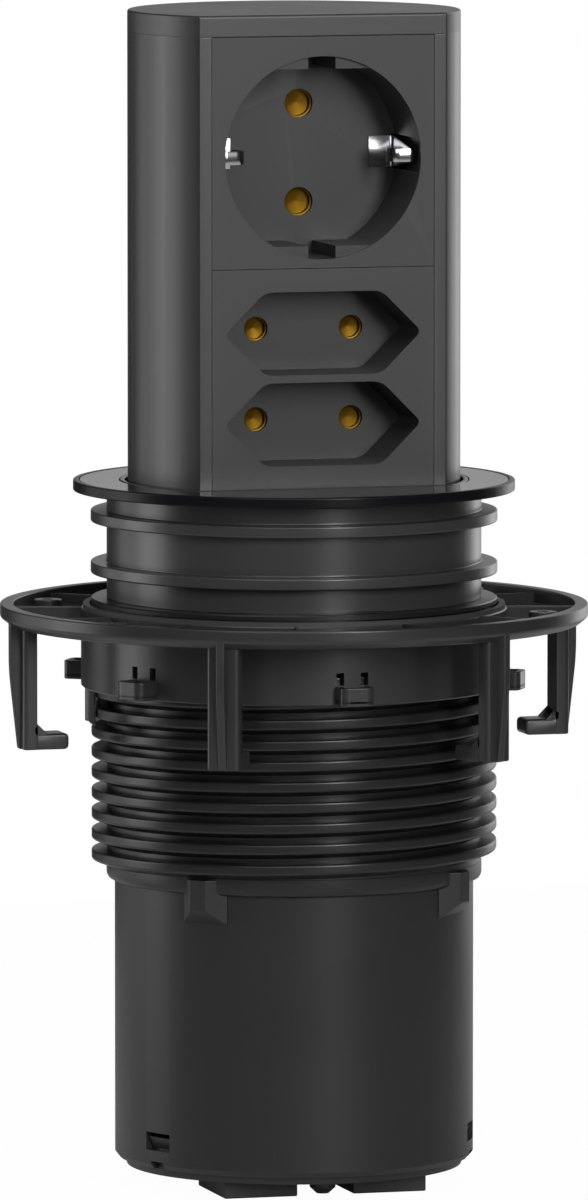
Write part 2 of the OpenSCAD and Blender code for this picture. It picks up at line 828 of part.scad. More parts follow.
// Coiled lead from the inlet up to the sockets, one unbroken tube
module coiled_lead() {
    rings = lead_turns * lead_rings_per_turn;
    first = lead_point(0);
    last = lead_point(1);
    path = concat([[first[0], first[1], lead_low]], [for (i = [0:rings]) lead_point(i / rings)],
        [[last[0], last[1], lead_high]]);
    n = len(path);
    pts = [for (i = [0:n - 1])
        let (d = path[min(i + 1, n - 1)] - path[max(i - 1, 0)],
             u = i <= 1 || i >= n - 2 ? [0, 0, 1] : d / norm(d),
             radial = [path[i][0], path[i][1] - lead_y, 0] / lead_r,
             side = cross(u, radial),
             v = side / norm(side),
             w = cross(v, u))
        each [for (k = [0:lead_sides - 1])
            path[i] + lead_d / 2 * (cos(360 * k / lead_sides) * w + sin(360 * k / lead_sides) * v)]];
    walls = [for (i = [0:n - 2], k = [0:lead_sides - 1])
        let (a = i * lead_sides + k, b = i * lead_sides + (k + 1) % lead_sides)
        each [[a, a + lead_sides, b + lead_sides], [a, b + lead_sides, b]]];
    ends = [for (k = [1:lead_sides - 2])
        let (e = (n - 1) * lead_sides)
        each [[0, k, k + 1], [e, e + k + 1, e + k]]];
    color(dark) polyhedron(pts, concat(walls, ends));
}

// Tower shell: an extruded wall open at the front for the inserts
module tower_shell() {
    color(black) difference() {
        dee_band(tower_r, tower_flat, shell_in_r, shell_in_flat, -shell_drop, shell_top);
        block([-insert_w / 2, -tower_r, insert_bottom], [insert_w / 2, -tower_flat / 2, shell_top + cut]);
        base_screw_holes();
    }
}

// Two holes at the back through the shell and the base's spigot
module base_screw_holes() {
    for (side = [-1, 1])
        rod_y(base_screw_r + pin_run, side * base_screw_x, tower_flat, tower_r + cut, base_screw_z);
}

// Lid with a low spigot along the shell's round back
module tower_cap() {
    color("#2c2d2e") {
        difference() {
            translate([0, 0, shell_top]) linear_extrude(cap_t) dee(tower_r, tower_flat);
            difference() {
                translate([0, 0, tower_top - cap_chamfer]) cylinder(r = tower_r + cut, h = cut, $fn = fine);
                translate([0, 0, tower_top - cap_chamfer])
                    cylinder(r1 = tower_r, r2 = tower_r - cap_chamfer, h = cap_chamfer, $fn = fine);
            }
        }
        intersection() {
            tube_between(shell_in_r - fit_gap, shell_in_r - shell_wall,
                shell_top - cap_spigot_h, shell_top + cap_chamfer);
            block([-tower_r, insert_back + cut, 0], [tower_r, tower_r, tower_top]);
        }
    }
}

// Block of one insert with its side lips behind the shell's edges
module insert_block(low, high) {
    block([-insert_half, -tower_flat, low], [insert_half, insert_back, high]);
    block([-insert_half - lip_reach, lip_y, low], [insert_half + lip_reach, lip_y + lip_t, high]);
}

// Holes in the backs of the inserts for the carrier's screws
module pilot_holes() {
    for (z = carrier_screw_z, side = [-1, 1])
        rod_y(screw_r + pin_run, side * boss_x, insert_back - pilot_depth, insert_back + cut, z);
}

// Insert with the round recess
module schuko_insert() {
    color("#303132") difference() {
        insert_block(division_z + fit_gap / 2, shell_top - fit_gap);
        schuko_recess();
        pilot_holes();
        for (side = [-1, 1]) {
            rod_y(schuko_hole_r, 0, schuko_floor - cut, insert_back + cut, schuko_z + side * pin_pitch / 2);
            rod_y(schuko_sleeve_r + fit_gap, 0, schuko_floor + sleeve_lip, insert_back + cut,
                schuko_z + side * pin_pitch / 2);
            clip_slot(side);
        }
    }
}

// Round recess: full depth between the shelves and in the two keyways
module schuko_recess() {
    intersection() {
        rod_y(schuko_r, 0, -tower_flat - cut, schuko_floor, schuko_z, fine);
        union() {
            block([-schuko_r, -tower_flat - cut, schuko_z - schuko_half],
                [schuko_r, schuko_floor, schuko_z + schuko_half]);
            block([-keyway_w / 2, -tower_flat - cut, schuko_z - schuko_r],
                [keyway_w / 2, schuko_floor, schuko_z + schuko_r]);
        }
    }
    rod_y(schuko_r, 0, -tower_flat - cut, shelf_depth - tower_flat, schuko_z, fine);
}

// Slot in the recess wall and floor for one earth clip
module clip_slot(side) {
    low = min(side * slot_in_x, side * slot_out_x);
    high = max(side * slot_in_x, side * slot_out_x);
    block([low, slot_front - tower_flat, schuko_z - clip_slot_h / 2],
        [high, insert_back + cut, schuko_z + clip_slot_h / 2]);
}

// Outline of one flat recess: pointed ends, rounded shoulders
module euro_outline() {
    half_w = euro_w / 2;
    half_h = euro_h / 2;
    shoulder_x = half_w - half_h - euro_corner * tan(22.5);
    hull() {
        for (sx = [-1, 1]) {
            translate([sx * (half_w - euro_tip * sqrt(2)), 0]) circle(r = euro_tip, $fn = 32);
            for (sz = [-1, 1]) translate([sx * shoulder_x, sz * (half_h - euro_corner)])
                circle(r = euro_corner, $fn = 32);
        }
    }
}

// Insert with the two flat recesses
module euro_insert() {
    color("#303132") difference() {
        insert_block(insert_bottom + fit_gap, division_z - fit_gap / 2);
        pilot_holes();
        for (z = [euro_upper_z, euro_lower_z]) {
            translate([0, euro_floor, z]) rotate([90, 0, 0]) linear_extrude(euro_depth + cut) euro_outline();
            for (side = [-1, 1]) {
                rod_y(euro_hole_r, side * pin_pitch / 2, euro_floor - cut, insert_back + cut, z);
                rod_y(euro_sleeve_r + fit_gap, side * pin_pitch / 2, euro_floor + sleeve_lip,
                    insert_back + cut, z);
            }
        }
    }
}

// One earth clip seen from above: strip on the floor, up the wall, over and back as a nose
module clip_section() {
    x = clip_wall_x;
    floor_y = schuko_floor;
    polygon([[clip_base_x, floor_y], [x + clip_t / 2, floor_y], [x + clip_t / 2, clip_nose_y + 0.7],
        [x - 0.4, clip_nose_y - clip_t / 2], [clip_tip_x + 1.2, clip_nose_y + 0.1],
        [clip_tip_x - 0.2, clip_nose_y + 1.5], [clip_tip_x, clip_nose_y + 3.4],
        [clip_tip_x + 1, clip_nose_y + 5],
        [clip_tip_x + 1.5, clip_nose_y + 4.7], [clip_tip_x + 0.6, clip_nose_y + 3.3],
        [clip_tip_x + 0.5, clip_nose_y + 1.8], [clip_tip_x + 1.5, clip_nose_y + 0.7],
        [x - 0.6, clip_nose_y + clip_t / 2], [x - clip_t / 2, clip_nose_y + 1.1],
        [x - clip_t / 2, floor_y - clip_t],
        [clip_base_x, floor_y - clip_t]]);
}

// Height of the clip at each depth: wide at the floor, narrow at the nose
module clip_taper() {
    polygon([[schuko_floor + cut, -clip_base_h / 2], [schuko_floor - 1.5, -clip_base_h / 2],
        [clip_taper_y, -clip_nose_h / 2], [clip_nose_y - cut, -clip_nose_h / 2],
        [clip_nose_y - cut, clip_nose_h / 2], [clip_taper_y, clip_nose_h / 2],
        [schuko_floor - 1.5, clip_base_h / 2], [schuko_floor + cut, clip_base_h / 2]]);
}

// Earth contact: two clips joined by a strap behind the insert
module earth_bracket() {
    color(nickel) {
        for (side = [0, 1]) mirror([side, 0, 0]) {
            translate([0, 0, schuko_z]) intersection() {
                translate([0, 0, -clip_base_h / 2]) linear_extrude(clip_base_h) clip_section();
                rotate([90, 0, 90]) linear_extrude(tower_r) clip_taper();
            }
            block([clip_wall_x - clip_t / 2, schuko_floor - 0.1, schuko_z - clip_base_h / 2],
                [clip_wall_x + clip_t / 2, carrier_y + clip_t, schuko_z + clip_base_h / 2]);
        }
        block([-clip_wall_x, carrier_y, strap_z - clip_base_h / 2],
            [clip_wall_x, carrier_y + clip_t, strap_z + clip_base_h / 2]);
    }
}

// Split contact sleeve for one pin
module pin_sleeve(r, bore, x, y0, z) {
    difference() {
        rod_y(r, x, y0, contact_end, z);
        rod_y(bore, x, y0 - cut, contact_end + cut, z);
        block([x - sleeve_slit / 2, contact_end - slit_l, z],
            [x + sleeve_slit / 2, contact_end + cut, z + r + cut]);
    }
}

// Sleeves of the round socket
module schuko_contacts() {
    color(brass) for (side = [-1, 1])
        pin_sleeve(schuko_sleeve_r, schuko_bore_r, 0, schuko_floor + sleeve_lip + 0.05,
            schuko_z + side * pin_pitch / 2);
}

// Sleeves of the flat sockets
module euro_contacts() {
    color(brass) for (z = [euro_upper_z, euro_lower_z], side = [-1, 1])
        pin_sleeve(euro_sleeve_r, euro_bore_r, side * pin_pitch / 2, euro_floor + sleeve_lip + 0.05, z);
}

// Two bars that join the sleeves of each pole, with holes the pins pass through
module busbars() {
    upper = schuko_z + pin_pitch / 2;
    lower = schuko_z - pin_pitch / 2;
    color(brass) difference() {
        union() {
            block([-bar_x - bar_w / 2, bar_y, euro_lower_z - bar_over],
                [bar_w / 2 - bar_x, bar_y + bar_t, upper + bar_over]);
            block([-bar_x, bar_y, upper - bar_over], [bar_over, bar_y + bar_t, upper + bar_over]);
            block([bar_x - bar_w / 2, bar_y, euro_lower_z - bar_over],
                [bar_x + bar_w / 2, bar_y + bar_t, lower + bar_over]);
            block([-bar_over, bar_y, lower - bar_over], [bar_x, bar_y + bar_t, lower + bar_over]);
        }
        for (z = [lower, upper]) rod_y(schuko_bore_r + run_gap, 0, bar_y - cut, bar_y + bar_t + cut, z);
        for (z = [euro_lower_z, euro_upper_z], side = [-1, 1])
            rod_y(euro_bore_r + run_gap, side * pin_pitch / 2, bar_y - cut, bar_y + bar_t + cut, z);
    }
}

// Carrier behind the inserts: it holds the sleeves and closes the back
module contact_carrier() {
    half_wall = carrier_wall / 2;
    color("#b9bab8") difference() {
        union() {
            difference() {
                block([-carrier_half, carrier_y + clip_t + fit_gap, carrier_bottom],
                    [carrier_half, carrier_back, carrier_top]);
                block([-carrier_in, carrier_y - cut, carrier_bottom + carrier_wall],
                    [carrier_in, carrier_back - carrier_wall, carrier_top - carrier_wall]);
            }
            for (z = carrier_screw_z, side = [-1, 1])
                rod_y(boss_r, side * boss_x, carrier_y + clip_t + fit_gap, carrier_back - half_wall, z);
            block([-carrier_in - half_wall, bridge_y, division_z - half_wall],
                [carrier_in + half_wall, carrier_back - half_wall, division_z + half_wall]);
        }
        for (side = [-1, 1]) translate([side * bar_x, 0, division_z])
            block([-bar_w, bridge_y - cut, -cut], [bar_w, carrier_back - carrier_wall, cut]);
        for (z = carrier_screw_z, side = [-1, 1])
            rod_y(screw_r + fit_gap, side * boss_x, carrier_y - cut, carrier_back + cut, z);
    }
}

// Screws that hold the carrier to the inserts
module carrier_screws() {
    color(steel) for (z = carrier_screw_z, side = [-1, 1]) {
        rod_y(screw_r, side * boss_x, insert_back - pilot_depth + run_gap, carrier_back, z);
        rod_y(screw_head_r, side * boss_x, carrier_back, carrier_back + screw_head_h, z);
    }
}

// Sliding base under the tower: stop rim, skirt and the ledge the latch holds
module tower_base() {
    color(dark) difference() {
        union() {
            translate([0, 0, base_top - base_plate_t]) cylinder(r = base_r, h = base_plate_t, $fn = fine);
            difference() {
                tube_between(base_r, base_r - base_skirt_t, base_bottom, base_top - base_plate_t + 0.1);
                block([-skirt_open_x, -base_r - cut, base_bottom - cut],
                    [skirt_open_x, -skirt_open_y, base_top - base_plate_t]);
            }
            dee_band(shell_in_r - fit_gap, shell_in_flat - fit_gap, shell_in_r - 1.8, shell_in_flat - 1.8,
                base_top - 0.1, base_top + base_spigot_h);
            translate([0, lead_y, base_top - base_boss_h])
                cylinder(r = base_open_r + base_boss_t, h = base_boss_h, $fn = fine);
        }
        translate([0, lead_y, base_bottom - cut])
            cylinder(r = base_open_r, h = cut - base_bottom, $fn = fine);
        block([latch_x - latch_arm_w / 2 - latch_room, latch_y - 0.5, base_bottom],
            [latch_x + latch_arm_w / 2 + 0.2, latch_y + latch_t + 0.5, base_top + cut]);
        block([rack_x - tooth_module - 0.2, gear_y - 0.5, base_bottom],
            [base_r, gear_y + gear_t + 0.5, base_top + cut]);
        block([-tape_w / 2 - 0.3, reel_y - tape_r - tape_t - 0.3, base_bottom],
            [tape_w / 2 + 0.3, reel_y - tape_r + 0.2, base_top + cut]);
        base_screw_holes();
    }
}

// Screws that join the shell to the base
module base_screws() {
    head_y = sqrt(pow(tower_r - 0.1, 2) - pow(base_screw_x + base_screw_r, 2));
    color(steel) for (side = [-1, 1])
        rod_y(base_screw_r, side * base_screw_x, head_y - base_screw_l, head_y, base_screw_z);
}

// Rotary damper under the base
module damper_body() {
    y1 = gear_y - 2 * fit_gap;
    top = base_top - base_plate_t - pin_run;
    color(dark) {
        difference() {
            rod_y(damper_r, gear_x, y1 - damper_t, y1, gear_z);
            block([gear_x - 2 * damper_r, y1 - damper_t - cut, top], [gear_x + 2 * damper_r, y1 + cut, 0]);
        }
        block([gear_x - damper_neck / 2, y1 - damper_t, gear_z], [gear_x + damper_neck / 2, y1, top]);
        rod_y(gear_bore_r - pin_run, gear_x, y1 - fit_gap, gear_y + gear_t, gear_z);
    }
}

// Pinion of the damper
module damper_gear() {
    half_tip = tooth_pitch * 0.13;
    half_root = tooth_pitch * 0.33;
    color("#e4e2d8") translate([gear_x, gear_y + gear_t, gear_z]) rotate([90, 0, 0]) difference() {
        linear_extrude(gear_t) union() {
            circle(r = gear_root_r, $fn = 48);
            for (i = [0:gear_teeth - 1]) rotate(360 * i / gear_teeth)
                polygon([[gear_root_r - 0.3, -half_root], [gear_root_r, -half_root],
                    [gear_pitch_r, -tooth_pitch / 4 + tooth_play / 2], [gear_tip_r, -half_tip],
                    [gear_tip_r, half_tip], [gear_pitch_r, tooth_pitch / 4 - tooth_play / 2],
                    [gear_root_r, half_root], [gear_root_r - 0.3, half_root]]);
        }
        translate([0, 0, -cut]) cylinder(r = gear_bore_r, h = gear_t + 2 * cut, $fn = 48);
    }
}

// Washer between the ring's hub and the worktop
module slip_washer() {
    color("#2e2f30") tube_between(washer_r, hub_bore_r + fit_gap, -ring_top - washer_t, -ring_top);
}

// One leg: stem in line with the rim, plate, and a toe that points inwards
module ring_leg() {
    top = -ring_top - rim_t + 0.5;
    low = -ring_top - leg_drop;
    rotate([90, 0, 90]) translate([0, 0, -leg_stem_t / 2]) linear_extrude(leg_stem_t)
        polygon([[0.5 - ring_r, top], [0.5 - ring_r, -ring_top - leg_taper], [-leg_end_r, low],
            [-leg_plate_r, low], [-leg_plate_r, top]]);
    block([-leg_w / 2, -leg_plate_r - leg_plate_t, low], [leg_w / 2, -leg_plate_r, top]);
    block([-leg_w / 2, -leg_plate_r, low], [leg_w / 2, -toe_r, low + toe_t]);
    for (side = [-1, 1]) translate([side * (leg_w / 2 - gusset_t / 2), 0, 0]) rotate([90, 0, 90])
        translate([0, 0, -gusset_t / 2]) linear_extrude(gusset_t)
        polygon([[-leg_plate_r, low + toe_t], [gusset - leg_plate_r, low + toe_t],
            [-leg_plate_r, low + toe_t + gusset]]);
}

// Small U-shaped lug on the hub
module ring_lug() {
    round_r = ring_lug_w / 4;
    root = 0.4 - hub_r;
    low = 0.2 - ring_top - hub_h;
    difference() {
        union() {
            block([-ring_lug_w / 2, round_r - lug_out_r, low], [ring_lug_w / 2, root, low + ring_lug_h]);
            block([-round_r, -lug_out_r, low], [round_r, root, low + ring_lug_h]);
            for (side = [-1, 1]) rod_z(round_r, side * round_r, round_r - lug_out_r, low, low + ring_lug_h);
        }
        block([lug_wall - ring_lug_w / 2, lug_wall - lug_out_r, low + lug_wall],
            [ring_lug_w / 2 - lug_wall, -hub_r - fit_gap, 0]);
    }
}

// Fixing ring: rim, web, spokes, screw bosses, threaded hub, lugs and legs
module fixing_ring() {
    top = -ring_top;
    hub_low = -ring_top - hub_h;
    color(black) {
        difference() {
            union() {
                rotate_extrude($fn = fine) polygon([[ring_r - rim_w, top], [ring_r, top],
                    [ring_r, top - rim_face], [ring_r - rim_bevel, top - rim_t],
                    [ring_r - rim_w, top - rim_t]]);
                tube_between(ring_r - rim_w + 0.1, hub_r - 0.1, top - rim_t, top - rim_t + web_t);
                tube_between(hub_r, hub_bore_r, hub_low, top - washer_t);
                for (i = [0:spoke_count - 1]) turned(spoke_offset + i * 360 / spoke_count)
                    block([-spoke_t / 2, 0.3 - ring_r + rim_w - 0.4, top - rim_t + 0.1],
                        [spoke_t / 2, 0.1 - hub_r, top - 0.2]);
                for (i = [0:boss_count - 1]) turned(i * 360 / boss_count) {
                    rod_z(ring_boss_r, 0, -screw_circle_r, top - rim_t, top - ring_boss_drop);
                    ring_lug();
                }
                for (i = [0:boss_count - 1]) turned(30 + i * 360 / boss_count) ring_leg();
                for (side = [-90, 90]) turned(tab_axis + side) hub_tab();
            }
            for (i = [0:boss_count - 1]) turned(i * 360 / boss_count) {
                rod_z(screw_hole_r, 0, -screw_circle_r, top - rim_t - cut, top + cut);
                for (side = [-1, 1]) translate([side * lug_slot_x, 0, hub_low + ring_lug_h])
                    block([-slot_w / 2, -hub_r - cut, 0.3], [slot_w / 2, 2 - hub_bore_r, slot_h]);
            }
        }
        helix_ridge(nut_ridge_r, hub_bore_r + 0.4, nut_ridge_w, nut_root_w + 0.2,
            crest_z(-360 * 3) + thread_pitch / 2, nut_turns, 0);
    }
}

// Tongue that hangs below the hub
module hub_tab() {
    half = tab_r * sin(tab_angle);
    intersection() {
        tube_between(tab_r, hub_bore_r + run_gap, -ring_top - tab_bottom, 0.5 - ring_top - hub_h);
        block([-half, -tab_r - cut, -ring_top - tab_bottom - cut],
            [half, 2 - hub_bore_r * cos(tab_angle), 0]);
    }
}

collar();
trim_plate();
bezel_ring();
guide_liner();
threaded_sleeve();
lower_housing();
bottom_cap();
cap_screw();
inlet_connector();
inlet_pins();
outlet_connector();
outlet_contacts();
damper_rack();
reel_bracket();
reel_pin();
spring_reel();
spring_tape();
latch_hook();
latch_pin();
coiled_lead();
tower_shell();
tower_cap();
schuko_insert();
euro_insert();
earth_bracket();
schuko_contacts();
euro_contacts();
busbars();
contact_carrier();
carrier_screws();
tower_base();
base_screws();
damper_body();
damper_gear();
slip_washer();
fixing_ring();
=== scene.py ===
import json
import math
import bpy
import bmesh
import numpy as np
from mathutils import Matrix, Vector


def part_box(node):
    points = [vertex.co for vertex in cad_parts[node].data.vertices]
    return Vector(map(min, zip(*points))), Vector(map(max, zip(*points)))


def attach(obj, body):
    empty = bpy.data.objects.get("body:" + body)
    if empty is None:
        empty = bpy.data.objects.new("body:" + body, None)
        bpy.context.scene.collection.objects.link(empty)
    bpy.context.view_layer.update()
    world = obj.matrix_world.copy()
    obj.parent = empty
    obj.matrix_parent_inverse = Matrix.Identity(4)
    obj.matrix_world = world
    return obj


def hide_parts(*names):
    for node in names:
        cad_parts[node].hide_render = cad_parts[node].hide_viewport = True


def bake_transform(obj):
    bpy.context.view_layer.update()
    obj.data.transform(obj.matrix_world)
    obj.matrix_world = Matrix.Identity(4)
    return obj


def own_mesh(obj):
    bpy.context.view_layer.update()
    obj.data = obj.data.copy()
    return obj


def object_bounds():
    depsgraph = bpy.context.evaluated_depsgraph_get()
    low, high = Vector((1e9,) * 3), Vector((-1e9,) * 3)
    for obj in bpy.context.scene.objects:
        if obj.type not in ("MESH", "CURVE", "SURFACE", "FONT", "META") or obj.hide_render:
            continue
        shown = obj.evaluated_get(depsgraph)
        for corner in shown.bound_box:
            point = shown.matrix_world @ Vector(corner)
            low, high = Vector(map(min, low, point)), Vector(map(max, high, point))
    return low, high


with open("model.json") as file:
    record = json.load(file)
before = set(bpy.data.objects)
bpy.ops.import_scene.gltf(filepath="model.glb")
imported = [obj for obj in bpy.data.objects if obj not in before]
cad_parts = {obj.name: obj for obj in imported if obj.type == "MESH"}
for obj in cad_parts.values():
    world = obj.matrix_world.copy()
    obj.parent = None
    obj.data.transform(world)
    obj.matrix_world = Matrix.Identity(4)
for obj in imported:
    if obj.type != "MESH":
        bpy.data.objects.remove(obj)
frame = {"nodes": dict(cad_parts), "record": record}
cadBox = [list(corner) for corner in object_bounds()]
scene = bpy.context.scene
scene.view_settings.view_transform = "Standard"
mm = 0.001
print("frame loaded,", len(frame["nodes"]), "nodes")


def span(nodeName):
    # lowest and highest corner of a CAD node, in millimetres
    return [np.array(corner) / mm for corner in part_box(nodeName)]


# camera and lamps, placed by their angle from the camera's own direction
cameraValues = {
    "azimuth": -15.7, "elevation": 5.6, "distance": 2.558, "lookAt": (0, 0, -0.0216), "lens": 396,
    "sensor": 36, "farClip": 20,
}


def around(angle, elevation=0.0):
    # unit vector at an angle from the camera's direction, positive to the right
    a, e = math.radians(angle + cameraValues["azimuth"]), math.radians(elevation)
    return Vector((math.sin(a) * math.cos(e), -math.cos(a) * math.cos(e), math.sin(e)))


def linked(name, data):
    # a new object in the scene
    made = bpy.data.objects.new(name, data)
    scene.collection.objects.link(made)
    return made


def addCamera(v):
    data = bpy.data.cameras.new("photoCamera")
    data.lens, data.sensor_width, data.clip_end = v["lens"], v["sensor"], v["farClip"]
    camera = linked("photoCamera", data)
    back = around(0, v["elevation"])
    camera.location = Vector(v["lookAt"]) + back * v["distance"]
    camera.rotation_euler = back.to_track_quat("Z", "Y").to_euler()
    scene.camera = camera


softBoxes = {  # angle from the camera, elevation, distance, width, height, watts
    "leftBox": (-98, 7, 2.2, 0.95, 1.7, 14),
    "leftRearBox": (-124, 7, 2.2, 0.9, 1.7, 4),
    "rightRearBox": (150, 6, 2.2, 0.6, 1.5, 4),
    "frontStrip": (25, 17, 2.2, 0.28, 1.0, 23),
    "frontFill": (-8, 21, 2.2, 1.4, 0.7, 9),
    "topBox": (-10, 70, 1.2, 0.9, 0.7, 5),
}
lampCentre = Vector((0, 0, -0.02))


def addSoftBox(name, angle, elevation, distance, width, height, watts):
    data = bpy.data.lights.new(name, "AREA")
    data.shape, data.size, data.size_y, data.energy = "RECTANGLE", width, height, watts
    light = linked(name, data)
    out = around(angle, elevation)
    light.location = lampCentre + out * distance
    light.rotation_euler = out.to_track_quat("Z", "Y").to_euler()


addCamera(cameraValues)
for boxName, boxValues in softBoxes.items():
    addSoftBox(boxName, *boxValues)


def node(tree, kind, values=None, **settings):
    # a shader node; a value that is another node's output is linked, any other one is set
    made = tree.nodes.new(kind)
    for key, value in settings.items():
        setattr(made, key, value)
    for key, value in (values or {}).items():
        if isinstance(value, bpy.types.NodeSocket):
            tree.links.new(value, made.inputs[key])
        else:
            made.inputs[key].default_value = value
    return made


def seenDirectly(tree, path):
    # one for rays from the camera, also through glass, and nothing for the rest
    return node(tree, "ShaderNodeMath", {0: path["Is Camera Ray"], 1: path["Is Transmission Ray"]},
                operation="MAXIMUM").outputs[0]


def addWorld(ambient=0.08, behind=0.75, ahead=0.02, brightAngle=160, brightFrom=0.78):
    # white to the camera and through glass; mirrored rays see a dark studio, bright at the right rear
    world = bpy.data.worlds.new("studioWorld")
    scene.world = world
    world.use_nodes = True
    t = world.node_tree
    t.nodes.clear()
    path = node(t, "ShaderNodeLightPath").outputs
    place = node(t, "ShaderNodeTexCoord").outputs["Generated"]
    aim = node(t, "ShaderNodeVectorMath", {0: place, 1: around(brightAngle)}, operation="DOT_PRODUCT")
    shade = node(t, "ShaderNodeMapRange",
                 {"Value": aim.outputs["Value"], "From Min": brightFrom, "From Max": 1.0, "To Min": ahead,
                  "To Max": behind}, interpolation_type="SMOOTHSTEP").outputs["Result"]
    glossy = node(t, "ShaderNodeMix", {"Factor": path["Is Glossy Ray"], "A": ambient, "B": shade},
                  data_type="FLOAT").outputs["Result"]
    level = node(t, "ShaderNodeMix", {"Factor": seenDirectly(t, path), "A": glossy, "B": 1.0},
                 data_type="FLOAT")
    back = node(t, "ShaderNodeBackground", {"Color": (1, 1, 1, 1), "Strength": level.outputs["Result"]})
    node(t, "ShaderNodeOutputWorld", {"Surface": back.outputs[0]})


addWorld()
print("camera, lamps and world set")


def addMesh(name, points, faces, smooth=True):
    # a mesh object from an array of points and a list of faces
    data = bpy.data.meshes.new(name)
    data.from_pydata(np.asarray(points, float).tolist(), [], [list(f) for f in faces])
    data.polygons.foreach_set("use_smooth", [smooth] * len(data.polygons))
    data.update()
    return linked(name, data)


def gridFaces(rows, columns, closeRows):
    # quads between neighbouring points of a grid whose columns wrap round, and whose rows do where asked
    i = np.arange(rows if closeRows else rows - 1)[:, None]
    j = np.arange(columns)[None, :]
    i2, j2 = (i + 1) % rows, (j + 1) % columns
    a, b, c, d = i * columns + j, i * columns + j2, i2 * columns + j2, i2 * columns + j
    return np.stack([a, b, c, d], -1).reshape(-1, 4)


def floorMaterial(clean=0.98):
    # white to the camera and through glass, with a trace of the object's shadow kept
    m = bpy.data.materials.new("paleFloor")
    m.use_nodes = True
    t = m.node_tree
    t.nodes.clear()
    diffuse = node(t, "ShaderNodeBsdfDiffuse", {"Color": (0.9, 0.9, 0.9, 1)})
    lit = node(t, "ShaderNodeEmission", {"Strength": 1.0, "Color": (1, 1, 1, 1)})
    path = node(t, "ShaderNodeLightPath").outputs
    share = node(t, "ShaderNodeMath", {0: seenDirectly(t, path), 1: clean}, operation="MULTIPLY")
    mix = node(t, "ShaderNodeMixShader",
               {"Fac": share.outputs[0], 1: diffuse.outputs[0], 2: lit.outputs[0]})
    node(t, "ShaderNodeOutputMaterial", {"Surface": mix.outputs[0]})
    return m


def addFloor(size=0.9, gap=0.0006):
    half, z = size / 2, cadBox[0][2] - gap
    corners = [(-half, -half, z), (half, -half, z), (half, half, z), (-half, half, z)]
    made = addMesh("studioFloor", corners, [(0, 1, 2, 3)], False)
    made.data.materials.append(floorMaterial())


addFloor()


def addGroup(name, sockets, outputs):
    g = bpy.data.node_groups.new(name, "ShaderNodeTree")
    for title, value in sockets.items():
        made = g.interface.new_socket(title, in_out="INPUT", socket_type="NodeSocketFloat")
        made.default_value = value
    for title in outputs:
        g.interface.new_socket(title, in_out="OUTPUT", socket_type="NodeSocketFloat")
    return g, node(g, "NodeGroupInput").outputs, node(g, "NodeGroupOutput").inputs


def mouldedGrain():
    # spark-eroded mould texture: fine pits mixed with a slow unevenness, both from noise in object space
    g, given, out = addGroup("mouldedGrain", {"Scale": 2200.0, "Unevenness": 0.3}, ("Height", "Mask"))
    place = node(g, "ShaderNodeTexCoord").outputs["Object"]
    fine = node(g, "ShaderNodeTexNoise",
                {"Vector": place, "Scale": given["Scale"], "Detail": 3.0, "Roughness": 0.6}).outputs["Fac"]
    slow = node(g, "ShaderNodeTexNoise", {"Vector": place, "Scale": 38.0, "Detail": 2.0}).outputs["Fac"]
    mix = node(g, "ShaderNodeMix", {"Factor": given["Unevenness"], "A": fine, "B": slow},
               data_type="FLOAT")
    g.links.new(mix.outputs["Result"], out["Height"])
    g.links.new(slow, out["Mask"])
    return g


def drawnLines():
    # faint lines left by drawing, mould flow or turning: noise stretched by its own factor along each axis
    g, given, out = addGroup("drawnLines", {"Across": 900.0, "Along": 6.0, "Up": 6.0}, ("Height", "Mask"))
    place = node(g, "ShaderNodeTexCoord").outputs["Object"]
    stretch = node(g, "ShaderNodeCombineXYZ", {0: given["Across"], 1: given["Along"], 2: given["Up"]})
    scaled = node(g, "ShaderNodeVectorMath", {0: place, 1: stretch.outputs[0]}, operation="MULTIPLY")
    noise = node(g, "ShaderNodeTexNoise",
                 {"Vector": scaled.outputs[0], "Scale": 1.0, "Detail": 2.0}).outputs["Fac"]
    broad = node(g, "ShaderNodeMapRange", {"Value": noise, "From Min": 0.35, "From Max": 0.65})
    g.links.new(noise, out["Height"])
    g.links.new(broad.outputs["Result"], out["Mask"])
    return g


def paintedEdgeHighlight():
    # painted highlight on convex edges: how far the surface turns from its flat neighbourhood, from the
    # mesh's pointiness
    g, given, out = addGroup("paintedEdgeHighlight", {"Start": 0.52, "Full": 0.60}, ("Mask",))
    shape = node(g, "ShaderNodeNewGeometry").outputs["Pointiness"]
    reach = node(g, "ShaderNodeMapRange",
                 {"Value": shape, "From Min": given["Start"], "From Max": given["Full"]})
    g.links.new(reach.outputs["Result"], out["Mask"])
    return g


grainGroup, lineGroup, edgeHighlightGroup = mouldedGrain(), drawnLines(), paintedEdgeHighlight()

